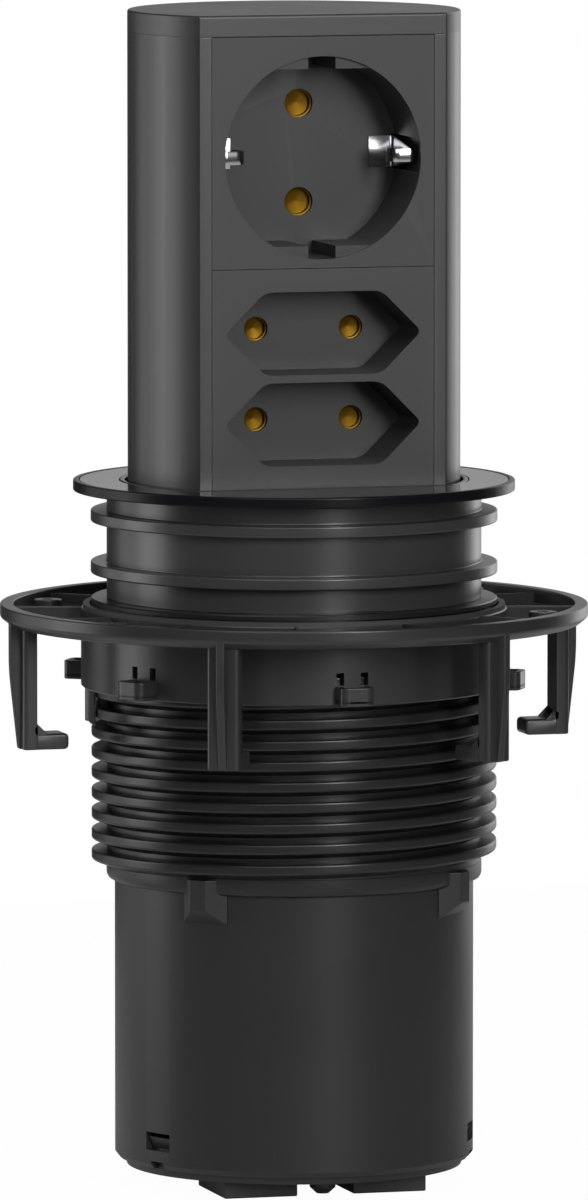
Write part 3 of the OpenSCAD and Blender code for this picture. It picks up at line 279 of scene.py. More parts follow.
# colour, its spread, roughness, its spread, specular level, bump, metal, and lines across, along and up
finishes = {
    "shellSatin": dict(color=(0.026, 0.026, 0.027), spread=0.08, rough=0.34, level=0.55, bump=0.04,
                       lines=(500, 500, 5)),
    "capSatin": dict(color=(0.026, 0.026, 0.027), spread=0.08, rough=0.36, level=0.55, bump=0.04),
    "insertGrain": dict(color=(0.031, 0.031, 0.032), spread=0.08, rough=0.40, level=0.40, bump=0.06),
    "collarPlastic": dict(color=(0.040, 0.040, 0.041), spread=0.10, rough=0.30, level=0.55, bump=0.03),
    "trimGloss": dict(color=(0.006, 0.006, 0.007), spread=0.06, rough=0.15, roughSpread=0.03, level=0.12,
                      bump=0.005),
    "flangeGloss": dict(color=(0.005, 0.005, 0.006), spread=0.06, rough=0.30, roughSpread=0.02, level=0.15,
                        bump=0.005),
    "bezelSatin": dict(color=(0.030, 0.030, 0.032), spread=0.08, rough=0.26, level=0.5, bump=0.02),
    "sleevePlastic": dict(color=(0.010, 0.010, 0.011), spread=0.12, rough=0.32, level=0.42, bump=0.03),
    "housingPlastic": dict(color=(0.016, 0.016, 0.017), spread=0.10, rough=0.36, level=0.34, bump=0.05),
    "ringPlastic": dict(color=(0.024, 0.024, 0.025), spread=0.12, rough=0.32, level=0.46, bump=0.03),
    "connectorPlastic": dict(color=(0.013, 0.013, 0.014), spread=0.12, rough=0.46, level=0.38, bump=0.08),
    "washerPlastic": dict(color=(0.035, 0.035, 0.036), spread=0.10, rough=0.5, level=0.4, bump=0.05),
    "acetalWhite": dict(color=(0.66, 0.65, 0.61), spread=0.05, rough=0.42, level=0.45, bump=0.04),
    "carrierGrey": dict(color=(0.38, 0.38, 0.37), spread=0.06, rough=0.5, level=0.4, bump=0.06),
    "leadRubber": dict(color=(0.016, 0.016, 0.016), spread=0.15, rough=0.55, level=0.35, bump=0.10),
    "contactBrass": dict(color=(0.105, 0.056, 0.005), spread=0.14, rough=0.42, roughSpread=0.08, bump=0.03,
                         metal=1.0, lines=(60, 900, 60)),
    "nickelPlate": dict(color=(0.45, 0.45, 0.46), spread=0.05, rough=0.20, bump=0.01, metal=1.0,
                        lines=(40, 40, 1100)),
    "springSteel": dict(color=(0.50, 0.51, 0.53), spread=0.08, rough=0.30, roughSpread=0.08, bump=0.02,
                        metal=1.0, lines=(900, 900, 12)),
    "zincScrew": dict(color=(0.60, 0.61, 0.62), spread=0.08, rough=0.32, roughSpread=0.08, bump=0.03,
                      metal=1.0),
    "blackScrew": dict(color=(0.022, 0.022, 0.023), spread=0.12, rough=0.40, level=0.45, bump=0.04),
}
# shares of the drawn lines in tone and height, the painted edge highlight's tone, and the relief's depth in
# metres
reliefValues = {"lineTone": 0.6, "lineHeight": 0.5, "highlightGain": 1.25, "highlightLift": 0.002, "depth": 0.0004}


def makeMaterial(name, color, spread, rough, bump, roughSpread=0.05, level=0.5, metal=0.0, lines=None):
    v = reliefValues
    m = bpy.data.materials.new(name)
    m.use_nodes = True
    t = m.node_tree
    shader = t.nodes["Principled BSDF"].inputs
    shader["Metallic"].default_value = metal
    shader["Specular IOR Level"].default_value = level
    grain = node(t, "ShaderNodeGroup", node_tree=grainGroup).outputs
    mask, height = grain["Mask"], grain["Height"]
    if lines:
        given = dict(zip(("Across", "Along", "Up"), lines))
        drawn = node(t, "ShaderNodeGroup", given, node_tree=lineGroup).outputs
        masks = node(t, "ShaderNodeMix", {"Factor": v["lineTone"], "A": mask, "B": drawn["Mask"]},
                     data_type="FLOAT")
        heights = node(t, "ShaderNodeMix", {"Factor": v["lineHeight"], "A": height, "B": drawn["Height"]},
                       data_type="FLOAT")
        mask, height = masks.outputs["Result"], heights.outputs["Result"]
    # painted highlight: the colour is lightened on convex edges by the pointiness mask
    edgeHighlightMask = node(t, "ShaderNodeGroup", node_tree=edgeHighlightGroup).outputs["Mask"]
    dark = (*[c * (1 - spread) for c in color], 1)
    light = (*[min(1, c * (1 + spread)) for c in color], 1)
    highlighted = (*[min(1, c * v["highlightGain"] + v["highlightLift"]) for c in color], 1)
    tone = node(t, "ShaderNodeMix", {"Factor": mask, "A": dark, "B": light}, data_type="RGBA")
    edgeLit = node(t, "ShaderNodeMix", {"Factor": edgeHighlightMask, "A": tone.outputs["Result"], "B": highlighted},
                data_type="RGBA")
    gloss = node(t, "ShaderNodeMapRange",
                 {"Value": mask, "To Min": rough - roughSpread, "To Max": rough + roughSpread})
    relief = node(t, "ShaderNodeBump", {"Height": height, "Strength": bump, "Distance": v["depth"]})
    t.links.new(edgeLit.outputs["Result"], shader["Base Color"])
    t.links.new(gloss.outputs["Result"], shader["Roughness"])
    t.links.new(relief.outputs["Normal"], shader["Normal"])
    return m


materials = {name: makeMaterial(name, **values) for name, values in finishes.items()}

finishNodes = {
    "shellSatin": ["tower_shell"], "capSatin": ["tower_cap"], "collarPlastic": ["collar"],
    "trimGloss": ["trim_plate"], "bezelSatin": ["bezel_ring"], "sleevePlastic": ["threaded_sleeve"],
    "ringPlastic": ["fixing_ring"], "washerPlastic": ["slip_washer"], "leadRubber": ["coiled_lead"],
    "carrierGrey": ["contact_carrier"], "nickelPlate": ["earth_bracket"], "blackScrew": ["cap_screw"],
    "insertGrain": ["schuko_insert", "euro_insert"], "housingPlastic": ["lower_housing", "bottom_cap"],
    "connectorPlastic": ["inlet_connector", "outlet_connector", "tower_base", "damper_body"],
    "acetalWhite": ["guide_liner", "damper_rack", "damper_gear", "latch_hook"],
    "contactBrass": ["inlet_pins", "outlet_contacts", "schuko_contacts", "euro_contacts", "busbars"],
    "springSteel": ["reel_bracket", "spring_reel", "spring_tape"],
    "zincScrew": ["reel_pin", "latch_pin", "carrier_screws", "base_screws"],
}
nodeFinish = {nodeName: finish for finish, group in finishNodes.items() for nodeName in group}
for nodeName, finish in nodeFinish.items():
    slots = frame["nodes"][nodeName].data.materials
    slots.clear()
    slots.append(materials[finish])
print("materials made:", len(materials))

# a straight side with longSide left between its bends gets one more row besideBend from each of them, so
# that smooth shading keeps it flat
besideBend, longSide = 0.1, 0.6


def swept(radius, angle, *height):
    # points at a radius and at an angle counted from the front: radius times the angle's sine to the side,
    # and times its cosine towards the front; with a height where one is given
    return np.stack(np.broadcast_arrays(radius * np.sin(angle), -radius * np.cos(angle), *height), -1)


def deeOutline(radius, flat, corner=0.4, arcSteps=150, flatSteps=6, cornerSteps=7):
    # a disc cut flat at the front, seen from above: half the flat, a corner that is a circle's arc, the
    # round back, and the mirror image of the first two
    turn = math.acos((flat - corner) / (radius - corner))
    reach = (radius - corner) * math.sin(turn)
    x = np.append(np.linspace(0, reach, flatSteps, endpoint=False), reach - besideBend)
    t = np.linspace(0, turn, cornerSteps, endpoint=False)
    a = np.linspace(turn, 2 * math.pi - turn, arcSteps)
    front = np.stack([x, -flat + 0 * x], 1)
    bend = np.stack([reach + corner * np.sin(t), corner - flat - corner * np.cos(t)], 1)
    flip = np.array([-1, 1])
    return np.concatenate([front, bend, swept(radius, a), bend[::-1] * flip, front[:0:-1] * flip])


def circleOutline(radius, like):
    # a circle whose points stand at the same angles as those of another outline
    return swept(radius, np.arctan2(like[:, 0], -like[:, 1]))


def rounded(corners, closed=True, steps=3, most=0.48, room=2.2):
    # rows of (across, height, rounding): each corner becomes a short parabola, tangent to both its sides,
    # that takes up its rounding or at most the given share of a side
    c = np.array(corners, float)
    out = []
    n = len(c)
    for i in range(n):
        p, r = c[i, :2], c[i, 2]
        if r <= 0 or (not closed and i in (0, n - 1)):
            out.append(p)
            continue
        before, after = c[i - 1, :2] - p, c[(i + 1) % n, :2] - p
        lb, la = np.linalg.norm(before), np.linalg.norm(after)
        r = min(r, most * lb, most * la)
        s, e = p + before / lb * r, p + after / la * r
        t = np.linspace(0, 1, steps + 1)[:, None]
        if lb > room * r + longSide:
            out.append(s + before / lb * besideBend)
        out.extend((1 - t) ** 2 * s + 2 * t * (1 - t) * p + t ** 2 * e)
        if la > room * r + longSide:
            out.append(e + after / la * besideBend)
    return np.array(out)


def fanVolume(ring):
    # six times the volume between the origin and a flat cap that closes a ring
    return np.einsum("j,ij->", ring[0], np.cross(ring, np.roll(ring, -1, 0)))


def skin(rings, capped=False):
    # points and faces of a closed surface through rings of equal length: the last ring joins the first, or
    # both get flat caps; its volume, the sum of its faces' triple products, decides which way it faces
    rings = np.asarray(rings, float) * mm
    rows, columns = rings.shape[:2]
    points = rings.reshape(-1, 3)
    faces = gridFaces(rows, columns, not capped)
    p = points[faces]
    volume = np.einsum("ij,ij->i", p[:, 0], np.cross(p[:, 1], p[:, 2]) + np.cross(p[:, 2], p[:, 3])).sum()
    faces = faces.tolist()
    if capped:
        faces += [list(range(columns))[::-1], list(range((rows - 1) * columns, rows * columns))]
        volume += fanVolume(rings[-1]) - fanVolume(rings[0])
    if volume < 0:
        faces = [f[::-1] for f in faces]
    return points, faces


def build(name, skins, sharp=35):
    # one mesh object from several closed surfaces, shaded smooth except across sharp edges and on caps
    points, faces, start = [], [], 0
    for p, f in skins:
        points.append(p)
        faces += [[i + start for i in face] for face in f]
        start += len(p)
    made = addMesh(name, np.concatenate(points), faces)
    corners = np.empty(len(faces), np.int32)
    made.data.polygons.foreach_get("loop_total", corners)
    made.data.polygons.foreach_set("use_smooth", corners < 5)
    made.data.set_sharp_from_angle(angle=math.radians(sharp))
    return made


def raised(outline, z):
    # an outline lifted to a height
    return np.column_stack([outline, np.full(len(outline), z)])


def turned(section, steps=240, at=(0, 0)):
    # a section of (radius, height) swept once round a vertical axis
    s = np.asarray(section, float)
    a = np.linspace(0, 2 * math.pi, steps, endpoint=False)
    return skin(swept(s[:, :1], a, s[:, 1:]) + (*at, 0))


def slab(outline, low, high, soft, steps=3):
    # rings of a plate: its outline drawn in by a quarter circle at both faces; the third coordinate runs
    # across the plate
    o = np.asarray(outline, float)
    along = np.roll(o, -1, 0) - np.roll(o, 1, 0)
    inward = np.stack([-along[:, 1], along[:, 0]], 1)
    inward /= np.maximum(np.linalg.norm(inward, axis=1), 1e-9)[:, None]
    area = (o[:, 0] * np.roll(o[:, 1], -1) - o[:, 1] * np.roll(o[:, 0], -1)).sum()
    inward *= np.sign(area)
    t = np.linspace(0, math.pi / 2, steps + 1)
    inset, lift = soft * (1 - np.sin(t)), soft * (1 - np.cos(t))
    if high - low > 2 * soft + longSide:
        inset, lift = np.append(inset, 0), np.append(lift, soft + besideBend)
    rings = [raised(o + inward * i, low + z) for i, z in zip(inset, lift)]
    rings += [raised(o + inward * i, high - z) for i, z in zip(inset[::-1], lift[::-1])]
    return np.array(rings)


def flat(rings, angle):
    # local (sideways, outward, height) to the row's frame, at an angle counted from the front
    a = math.radians(angle)
    out = np.empty_like(rings)
    out[..., 0] = rings[..., 0] * math.cos(a) + rings[..., 1] * math.sin(a)
    out[..., 1] = rings[..., 0] * math.sin(a) - rings[..., 1] * math.cos(a)
    out[..., 2] = rings[..., 2]
    return out


def lying(rings, angle):
    # a closed plate that lies flat
    return skin(flat(rings, angle), capped=True)


def upright(rings, angle):
    # a closed plate that stands on edge: its local axes are outward, height and sideways
    return lying(rings[..., [2, 0, 1]], angle)


def boxOutline(x0, x1, y0, y1, corner):
    return rounded([(x0, y0, corner), (x1, y0, corner), (x1, y1, corner), (x0, y1, corner)])


def windowedTube(outer, inner, heights, angles, solid):
    # an upright wall on a grid of angles and heights; cells that are not solid stay open and get reveals
    # all round
    a = np.radians(angles)
    n, rows = len(a), len(heights)
    z = np.asarray(heights, float)[:, None]
    sides = [swept(np.reshape(r, (-1, 1)), a, z).reshape(-1, 3) * mm for r in (outer, inner)]
    index = np.arange(rows * n).reshape(rows, n)
    right = np.roll(index, -1, 1)
    inside = rows * n
    i, j = np.nonzero(solid)
    low, lowNext, up, upNext = index[i, j], right[i, j], index[i + 1, j], right[i + 1, j]
    faces = [np.stack([low, lowNext, upNext, up], 1), np.stack([up, upNext, lowNext, low], 1) + inside]

    def reveal(a, b):
        # a face through the wall along each edge from a to b
        faces.append(np.stack([a, b, b + inside, a + inside], 1))

    framed = np.pad(solid, ((1, 1), (0, 0)))
    i, j = np.nonzero(framed[1:] & ~framed[:-1])
    reveal(right[i, j], index[i, j])
    i, j = np.nonzero(framed[:-1] & ~framed[1:])
    reveal(index[i, j], right[i, j])
    before = np.roll(solid, 1, 1)
    i, j = np.nonzero(solid & ~before)
    reveal(index[i, j], index[i + 1, j])
    i, j = np.nonzero(~solid & before)
    reveal(index[i + 1, j], index[i, j])
    return np.concatenate(sides), np.concatenate(faces).tolist()


def tubeGrid(steps, edges, nearest=0.35):
    # even steps round the circle, less those nearest to a given edge, plus the edges, in degrees
    even = np.arange(steps) * 360 / steps
    extra = np.asarray(edges, float) % 360
    away = np.abs((even[:, None] - extra[None, :] + 180) % 360 - 180).min(1)
    return np.sort(np.concatenate([even[away > nearest], extra]))


def openCells(angles, heights, openings):
    # true where the wall is solid; each opening is (angle, half its angular width, low, high)
    mid = (angles + (np.roll(angles, -1) - angles) % 360 / 2) % 360
    level = (np.asarray(heights)[:-1] + np.asarray(heights)[1:]) / 2
    solid = np.ones((len(level), len(mid)), bool)
    for angle, half, low, high in openings:
        near = np.abs((mid - angle + 180) % 360 - 180) < half
        solid &= ~(near[None, :] & ((level > low) & (level < high))[:, None])
    return solid


bodyOf = {n: b for b, group in frame["record"]["behaviour"]["bodies"].items() for n in group}


def fitted(made, nodeName):
    # gives a piece that stands for a CAD node its finish and its body, and hides the node
    made.data.materials.clear()
    made.data.materials.append(materials[nodeFinish[nodeName]])
    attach(made, bodyOf[nodeName])
    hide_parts(nodeName)
    return made


def softened(nodeName, name, width, segments=2, angle=32, weld=0.000002, level=0.6):
    # a copy of a CAD node with its triangles merged into whole faces and its edges rounded off; weld is in
    # metres, angle and level are the degrees that make an edge and that a whole face may bend by
    data = frame["nodes"][nodeName].data.copy()
    data.name = name
    b = bmesh.new()
    b.from_mesh(data)
    bmesh.ops.remove_doubles(b, verts=b.verts, dist=weld)
    bmesh.ops.dissolve_degenerate(b, dist=weld, edges=b.edges)
    bmesh.ops.dissolve_limit(b, angle_limit=math.radians(level), use_dissolve_boundaries=False,
                             verts=b.verts, edges=b.edges, delimit={"NORMAL"})
    b.to_mesh(data)
    b.free()
    if "custom_normal" in data.attributes:
        data.attributes.remove(data.attributes["custom_normal"])
    data.polygons.foreach_set("use_smooth", [True] * len(data.polygons))
    data.set_sharp_from_angle(angle=math.radians(angle))
    made = linked(name, data)
    bevel = made.modifiers.new("softEdges", "BEVEL")
    bevel.width, bevel.segments = width * mm, segments
    bevel.limit_method, bevel.angle_limit = "ANGLE", math.radians(angle)
    bevel.use_clamp_overlap, bevel.harden_normals, bevel.miter_outer = True, True, "MITER_ARC"
    return fitted(made, nodeName)


towerValues = {
    "radius": 32.2, "flat": 20.8, "wall": 2.0, "top": 93.0, "seam": 88.9, "low": -22.3,
    "windowLow": -2.0, "windowHalf": 22.2, "corner": 0.3, "footEdge": 0.3, "lidEdge": 0.5,
    "lidFlat": 1.2, "seamGroove": 0.03, "seamEdge": 0.06, "seamRow": 0.16, "sillInset": 0.1,
    "sillEdge": 0.15, "sillRow": 0.25, "insertEdge": 0.12,
}


def openOutline(v, inset):
    # plan of the shell where it is open for the inserts: round the outside from one jamb to the other, and
    # back inside
    half, wall = v["windowHalf"] + inset, v["wall"]
    outer = deeOutline(v["radius"] - inset, v["flat"] - inset, v["corner"], flatSteps=1)[1:]
    inner = deeOutline(v["radius"] - wall + inset, v["flat"] - wall + inset, v["corner"], flatSteps=1)[1:]
    jamb = np.array([[half, inset - v["flat"]], [-half, inset - v["flat"]],
                     [-half, wall - inset - v["flat"]], [half, wall - inset - v["flat"]]])
    return np.concatenate([jamb[:1], outer, jamb[1:3], inner[::-1], jamb[3:]])


def makeTower(v):
    # shell: a band open at the front up to the lid, and a full D band below that stays inside the collar;
    # each row is an inset from the D and a height
    sill, seam, groove = v["windowLow"], v["seam"], v["seamGroove"]
    band = [(v["sillInset"], sill), (0, sill + v["sillEdge"]), (0, sill + v["sillRow"]),
            (0, seam - v["seamRow"]), (0, seam - v["seamEdge"]), (groove, seam)]
    shell = skin([raised(openOutline(v, i), z) for i, z in band], capped=True)
    foot = rounded([(0, sill, 0), (0, v["low"], v["footEdge"]), (v["wall"], v["low"], v["footEdge"]),
                    (v["wall"], sill, 0)])
    lower = skin([raised(deeOutline(v["radius"] - i, v["flat"] - i, v["corner"]), z) for i, z in foot])
    fitted(build("towerShell", [shell, lower]), "tower_shell")
    # lid: a D block with a fine groove at the seam and a rounded upper edge
    lid = rounded([(groove, seam, 0), (0, seam + v["seamEdge"], 0), (0, seam + v["seamRow"], 0),
                   (0, v["top"], v["lidEdge"]), (v["lidFlat"], v["top"], 0)], closed=False, steps=5)
    top = skin([raised(deeOutline(v["radius"] - i, v["flat"] - i, v["corner"]), z) for i, z in lid],
               capped=True)
    fitted(build("towerLid", [top]), "tower_cap")


makeTower(towerValues)
softened("schuko_insert", "roundSocketInsert", towerValues["insertEdge"])
softened("euro_insert", "flatSocketInsert", towerValues["insertEdge"])

contactValues = {
    "roundBore": 2.45, "flatBore": 2.05, "pinReach": 9.5, "recessHeight": 16.0, "recessGap": 1.5,
    "wall": 0.55, "axis": 0.01, "lip": 0.1, "lipDepth": 0.05, "leafDepth": 1.2, "leafThick": 0.8,
    "dish": 0.25, "bend": 0.12, "bendShare": 0.7, "steps": 48,
}


def midHeight(nodeName):
    low, high = span(nodeName)
    return (low[2] + high[2]) / 2


def makeContacts(nodeName, name, places, bore, v):
    # each contact is a sleeve about its pin's axis, closed a little behind its front by a dished leaf: rows
    # of radius and depth swept round that axis
    lo, hi = span(nodeName)
    front, back = lo[1], hi[1]
    leaf, outer = front + v["leafDepth"], bore + v["wall"]
    section = [(v["axis"], leaf + v["dish"]), (bore * v["bendShare"], leaf + v["bend"]), (bore, leaf),
               (bore, front + v["lipDepth"]), (bore + v["lip"], front), (outer, front), (outer, back),
               (bore, back), (bore, leaf + v["leafThick"]), (v["axis"], leaf + v["leafThick"])]
    s = np.array(section)
    a = np.linspace(0, 2 * math.pi, v["steps"], endpoint=False)
    skins = []
    for x, z in places:
        rings = np.empty((len(s), len(a), 3))
        rings[..., 0] = x + s[:, :1] * np.cos(a)
        rings[..., 1] = s[:, 1:2]
        rings[..., 2] = z + s[:, :1] * np.sin(a)
        skins.append(skin(rings))
    fitted(build(name, skins), nodeName)


pinReach = contactValues["pinReach"]
flatReach = (contactValues["recessHeight"] + contactValues["recessGap"]) / 2
roundMid, flatMid = midHeight("schuko_contacts"), midHeight("euro_contacts")
makeContacts("schuko_contacts", "roundSocketContacts", [(0, roundMid + z) for z in (-pinReach, pinReach)],
             contactValues["roundBore"], contactValues)
makeContacts("euro_contacts", "flatSocketContacts",
             [(x, flatMid + z) for z in (-flatReach, flatReach) for x in (-pinReach, pinReach)],
             contactValues["flatBore"], contactValues)

# rows of shoulder and nose are (sideways, inward, rounding), from wallX or tipX and from noseY
clipValues = {
    "thick": 0.6, "baseX": 13.9, "wallX": 18.9, "tipX": 14.4, "floorY": -3.3, "noseY": -17.5,
    "footBend": 0.9, "shoulder": ((0, 1.2, 0), (-0.1, 0.1, 1.0)),
    "nose": ((1.0, 0.35, 0.9), (0.15, 2.0, 0.8), (0.3, 3.4, 0.7), (1.3, 4.9, 0)), "taperStart": 1.5,
    "taperY": -9.0, "baseHalf": 3.05, "noseHalf": 1.3, "corner": 0.12, "legSink": 0.1, "edge": 0.1,
}


def makeClips(v):
    # a strip bent along a path in plan; its half height goes from the foot's to the nose's along the taper
    t, tall, edge, e = v["thick"], v["baseHalf"], v["edge"], v["corner"]
    path = [(v["baseX"], v["floorY"] - t / 2, 0), (v["wallX"], v["floorY"] - t / 2, v["footBend"])]
    path += [(v["wallX"] + x, v["noseY"] + y, r) for x, y, r in v["shoulder"]]
    path += [(v["tipX"] + x, v["noseY"] + y, r) for x, y, r in v["nose"]]
    path = rounded(path, closed=False, steps=6)
    step = np.gradient(path, axis=0)
    side = np.stack([-step[:, 1], step[:, 0]], 1) / np.linalg.norm(step, axis=1)[:, None] * t / 2
    start = v["floorY"] - v["taperStart"]
    share = np.clip((start - path[:, 1]) / (start - v["taperY"]), 0, 1)
    half = tall + (v["noseHalf"] - tall) * share
    half = np.maximum.accumulate(half[::-1])[::-1]
    z = midHeight("schuko_contacts")
    # the strip's section, with its corners cut: share of the half thickness, and the side less the cut
    corners = [(1, e - 1), (1 - e * 2, -1), (e * 2 - 1, -1), (-1, e - 1),
               (-1, 1 - e), (e * 2 - 1, 1), (1 - e * 2, 1), (1, 1 - e)]
    skins = []
    for flip in (1, -1):
        rings = np.empty((len(path), len(corners), 3))
        for k, (s, h) in enumerate(corners):
            rings[:, k, 0] = (path[:, 0] + side[:, 0] * s) * flip
            rings[:, k, 1] = path[:, 1] + side[:, 1] * s
            rings[:, k, 2] = z + half * np.sign(h) - np.sign(h) * (1 - abs(h))
        skins.append(skin(rings, capped=True))
    # legs through the insert's floor and the strap that joins them behind it
    back = span("earth_bracket")[1][1] - t
    legs = [sorted((flip * (v["wallX"] - t / 2), flip * (v["wallX"] + t / 2))) for flip in (1, -1)]
    plates = [boxOutline(x0, x1, v["floorY"] - v["legSink"], back + t, edge) for x0, x1 in legs]
    plates.append(boxOutline(-v["wallX"], v["wallX"], back, back + t, edge))
    skins += [skin(slab(p, z - tall, z + tall, edge), capped=True) for p in plates]
    fitted(build("earthClips", skins), "earth_bracket")


makeClips(clipValues)
print("tower made")

collarValues = {
    "flange": 42.8, "flangeTop": 2.06, "tube": 36.3, "rib": 39.4, "ribTops": (-3.8, -13.8),
    "ribHeight": 2.2, "tubeLow": -20.8, "spigot": 34.8, "spigotLow": -30, "bore": 33.3, "boreTop": -1.2,
    "corner": 0.5, "openInset": -0.6, "ledge": 0.4, "bezel": 0.95, "bezelHeight": 1.7, "plate": 41.6,
    "plateTop": 2.0, "plateThick": 0.8, "plateEdge": 0.15, "plateInnerEdge": 0.1, "gap": 0.1,
    "satinBelow": -0.05, "fillet": 0.4, "ribFillet": 0.25, "ribEdge": 0.3, "wellEdge": 0.1,
    "flangeEdge": 0.35, "flangeLowEdge": 0.25, "tubeEdge": 0.15, "spigotEdge": 0.3, "bezelEdge": 0.3,
}


def makeCollar(v):
    # section rows say if they are a D, then its inset or the circle's radius, and the height; the circles
    # keep the D's angles, so that the two can be joined
    t = towerValues

    def dee(inset):
        return deeOutline(t["radius"] - inset, t["flat"] - inset, v["corner"], arcSteps=200, flatSteps=8)

    like = dee(v["openInset"])

    def ringsOf(section):
        return [raised(dee(r) if isDee else circleOutline(r, like), z) for isDee, r, z in section]

    side = []
    for top in v["ribTops"]:
        low = top - v["ribHeight"]
        side += [(v["tube"], top, v["ribFillet"]), (v["rib"], top, v["ribEdge"]),
                 (v["rib"], low, v["ribEdge"]), (v["tube"], low, v["ribFillet"])]
    well = v["plate"] + v["gap"]
    outside = rounded([(well, v["flangeTop"], v["wellEdge"]),
                       (v["flange"], v["flangeTop"], v["flangeEdge"]),
                       (v["flange"], 0, v["flangeLowEdge"]), (v["tube"], 0, v["fillet"]), *side,
                       (v["tube"], v["tubeLow"], v["tubeEdge"]), (v["spigot"], v["tubeLow"], 0),
                       (v["spigot"], v["spigotLow"], v["spigotEdge"]),
                       (v["bore"], v["spigotLow"], v["spigotEdge"]), (v["bore"], v["boreTop"], 0)],
                      closed=False)
    hole, ledge, seat = v["openInset"], v["ledge"], v["plateTop"] - v["plateThick"]
    bezelOut = hole - v["bezel"] - v["gap"]
    section = [(False, r, z) for r, z in outside]
    section += [(True, hole, v["boreTop"]), (True, hole, ledge), (True, bezelOut, ledge),
                (True, bezelOut, seat), (False, well, seat)]
    collar = fitted(build("collarMoulding", [skin(ringsOf(section))]), "collar")
    # the flange is polished like the trim, the tube below it is satin
    collar.data.materials.append(materials["flangeGloss"])
    faces = collar.data.polygons
    middle = np.empty(len(faces) * 3)
    faces.foreach_get("center", middle)
    faces.foreach_set("material_index", (middle[2::3] > v["satinBelow"] * mm).astype(np.int32))
    face, edge, inner = v["plateTop"], v["plateEdge"], bezelOut - v["gap"]
    plate = [(False, v["plate"] - edge, face), (False, v["plate"], face - edge), (False, v["plate"], seat),
             (True, inner, seat), (True, inner, face - v["plateInnerEdge"]),
             (True, inner - v["plateInnerEdge"], face)]
    fitted(build("glossTrim", [skin(ringsOf(plate))]), "trim_plate")
    crown, out, soft = ledge + v["bezelHeight"], hole - v["bezel"], v["bezelEdge"]
    ring = rounded([(hole, ledge, 0), (hole, crown, soft), (out, crown, soft), (out, ledge, 0)], steps=4)
    fitted(build("raisedBezel", [skin(ringsOf([(True, i, z) for i, z in ring]))]), "bezel_ring")


makeCollar(collarValues)
print("collar made")

sleeveValues = {
    "bore": 34.9, "boreEdge": 0.2, "root": 36.3, "crest": 39.3, "shoulder": 39.4, "top": -20.8,
    "shoulderHeight": 1.2, "shoulderEdge": 0.25, "rim": 36.4, "rimTop": -72.0, "rimEdge": 0.08,
    "low": -75.4, "chamfer": 1.2, "chamferRows": ((0, 1), (0.08, 0.6), (0.35, 0.2), (0.8, 0)),
    "notchHalf": 3.15, "notchTop": -72.3, "notchReveal": 0.02, "steps": 288,
    "lugAngles": (45, 135, 225, 315), "pitch": 4.0, "crestAtFront": -21.6, "crestHalf": 0.95,
    "rootLow": -2.05, "rootHigh": 1.15, "rootSink": 0.25, "rootEdge": 0.2, "edge": 0.4,
    "firstAngle": 18.0, "lastAngle": -4590.0, "stepAngle": 4.5, "runOut": 14.0, "endRise": 0.02,
    "endWidth": 0.4,
}


def makeSleeve(v):
    # body: one section of radius and height swept round, its lower rows cut off at the notch's top
    # wherever a notch stands
    half = math.degrees(v["notchHalf"] / v["rim"])
    reveal = v["notchReveal"]
    edges = [a + s * half + d for a in v["lugAngles"] for s in (-1, 1) for d in (0, s * reveal)]
    angle = tubeGrid(v["steps"], edges)
    soft, under = v["shoulderEdge"], v["top"] - v["shoulderHeight"]
    section = [(v["bore"], v["top"]), (v["shoulder"] - soft, v["top"]), (v["shoulder"], v["top"] - soft),
               (v["shoulder"], under + soft), (v["shoulder"] - soft, under), (v["root"], under),
               (v["root"], v["rimTop"]), (v["rim"], v["rimTop"] - v["rimEdge"]), (v["rim"], v["notchTop"])]
    section += [(v["rim"] - inset, v["low"] + v["chamfer"] * rise) for inset, rise in v["chamferRows"]]
    section += [(v["bore"] + v["boreEdge"], v["low"]), (v["bore"], v["low"] + v["boreEdge"]),
                (v["bore"], v["notchTop"])]
    section = np.array(section, float)
    a = np.radians(angle)
    cut = np.zeros(len(angle), bool)
    for lug in v["lugAngles"]:
        cut |= np.abs((angle - lug + 180) % 360 - 180) < half + reveal / 2
    z = np.where(cut[None, :], np.maximum(section[:, 1:2], v["notchTop"]), section[:, 1:2])
    body = skin(swept(section[:, :1], a, z))
    # thread: a buttress section with eased corners, carried along a helix that climbs one pitch a turn and
    # fading out at both ends with the square root of the angle left
    crest, sink = v["crest"] - v["root"], -v["rootSink"]
    ridge = rounded([(sink, v["rootLow"], 0), (0.0, v["rootLow"], v["rootEdge"]),
                     (crest, -v["crestHalf"], v["edge"]), (crest, v["crestHalf"], v["edge"]),
                     (0.0, v["rootHigh"], v["rootEdge"]), (sink, v["rootHigh"], 0)], steps=4)
    steps = int((v["firstAngle"] - v["lastAngle"]) / v["stepAngle"])
    turn = np.linspace(v["firstAngle"], v["lastAngle"], steps)
    fade = np.minimum(v["firstAngle"] - turn, turn - v["lastAngle"]) / v["runOut"]
    fade = np.sqrt(np.clip(fade, v["endRise"], 1))[:, None]
    t = np.radians(turn)[:, None]
    r = v["root"] + np.where(ridge[None, :, 0] > 0, ridge[None, :, 0] * fade, ridge[None, :, 0])
    width = np.minimum(1, v["endWidth"] + (1 - v["endWidth"]) * fade)
    h = v["crestAtFront"] + turn[:, None] / 360 * v["pitch"] + ridge[None, :, 1] * width
    helix = skin(swept(r, t, h), capped=True)
    fitted(build("threadedSleeve", [body, helix], 40), "threaded_sleeve")


makeSleeve(sleeveValues)
print("sleeve made")

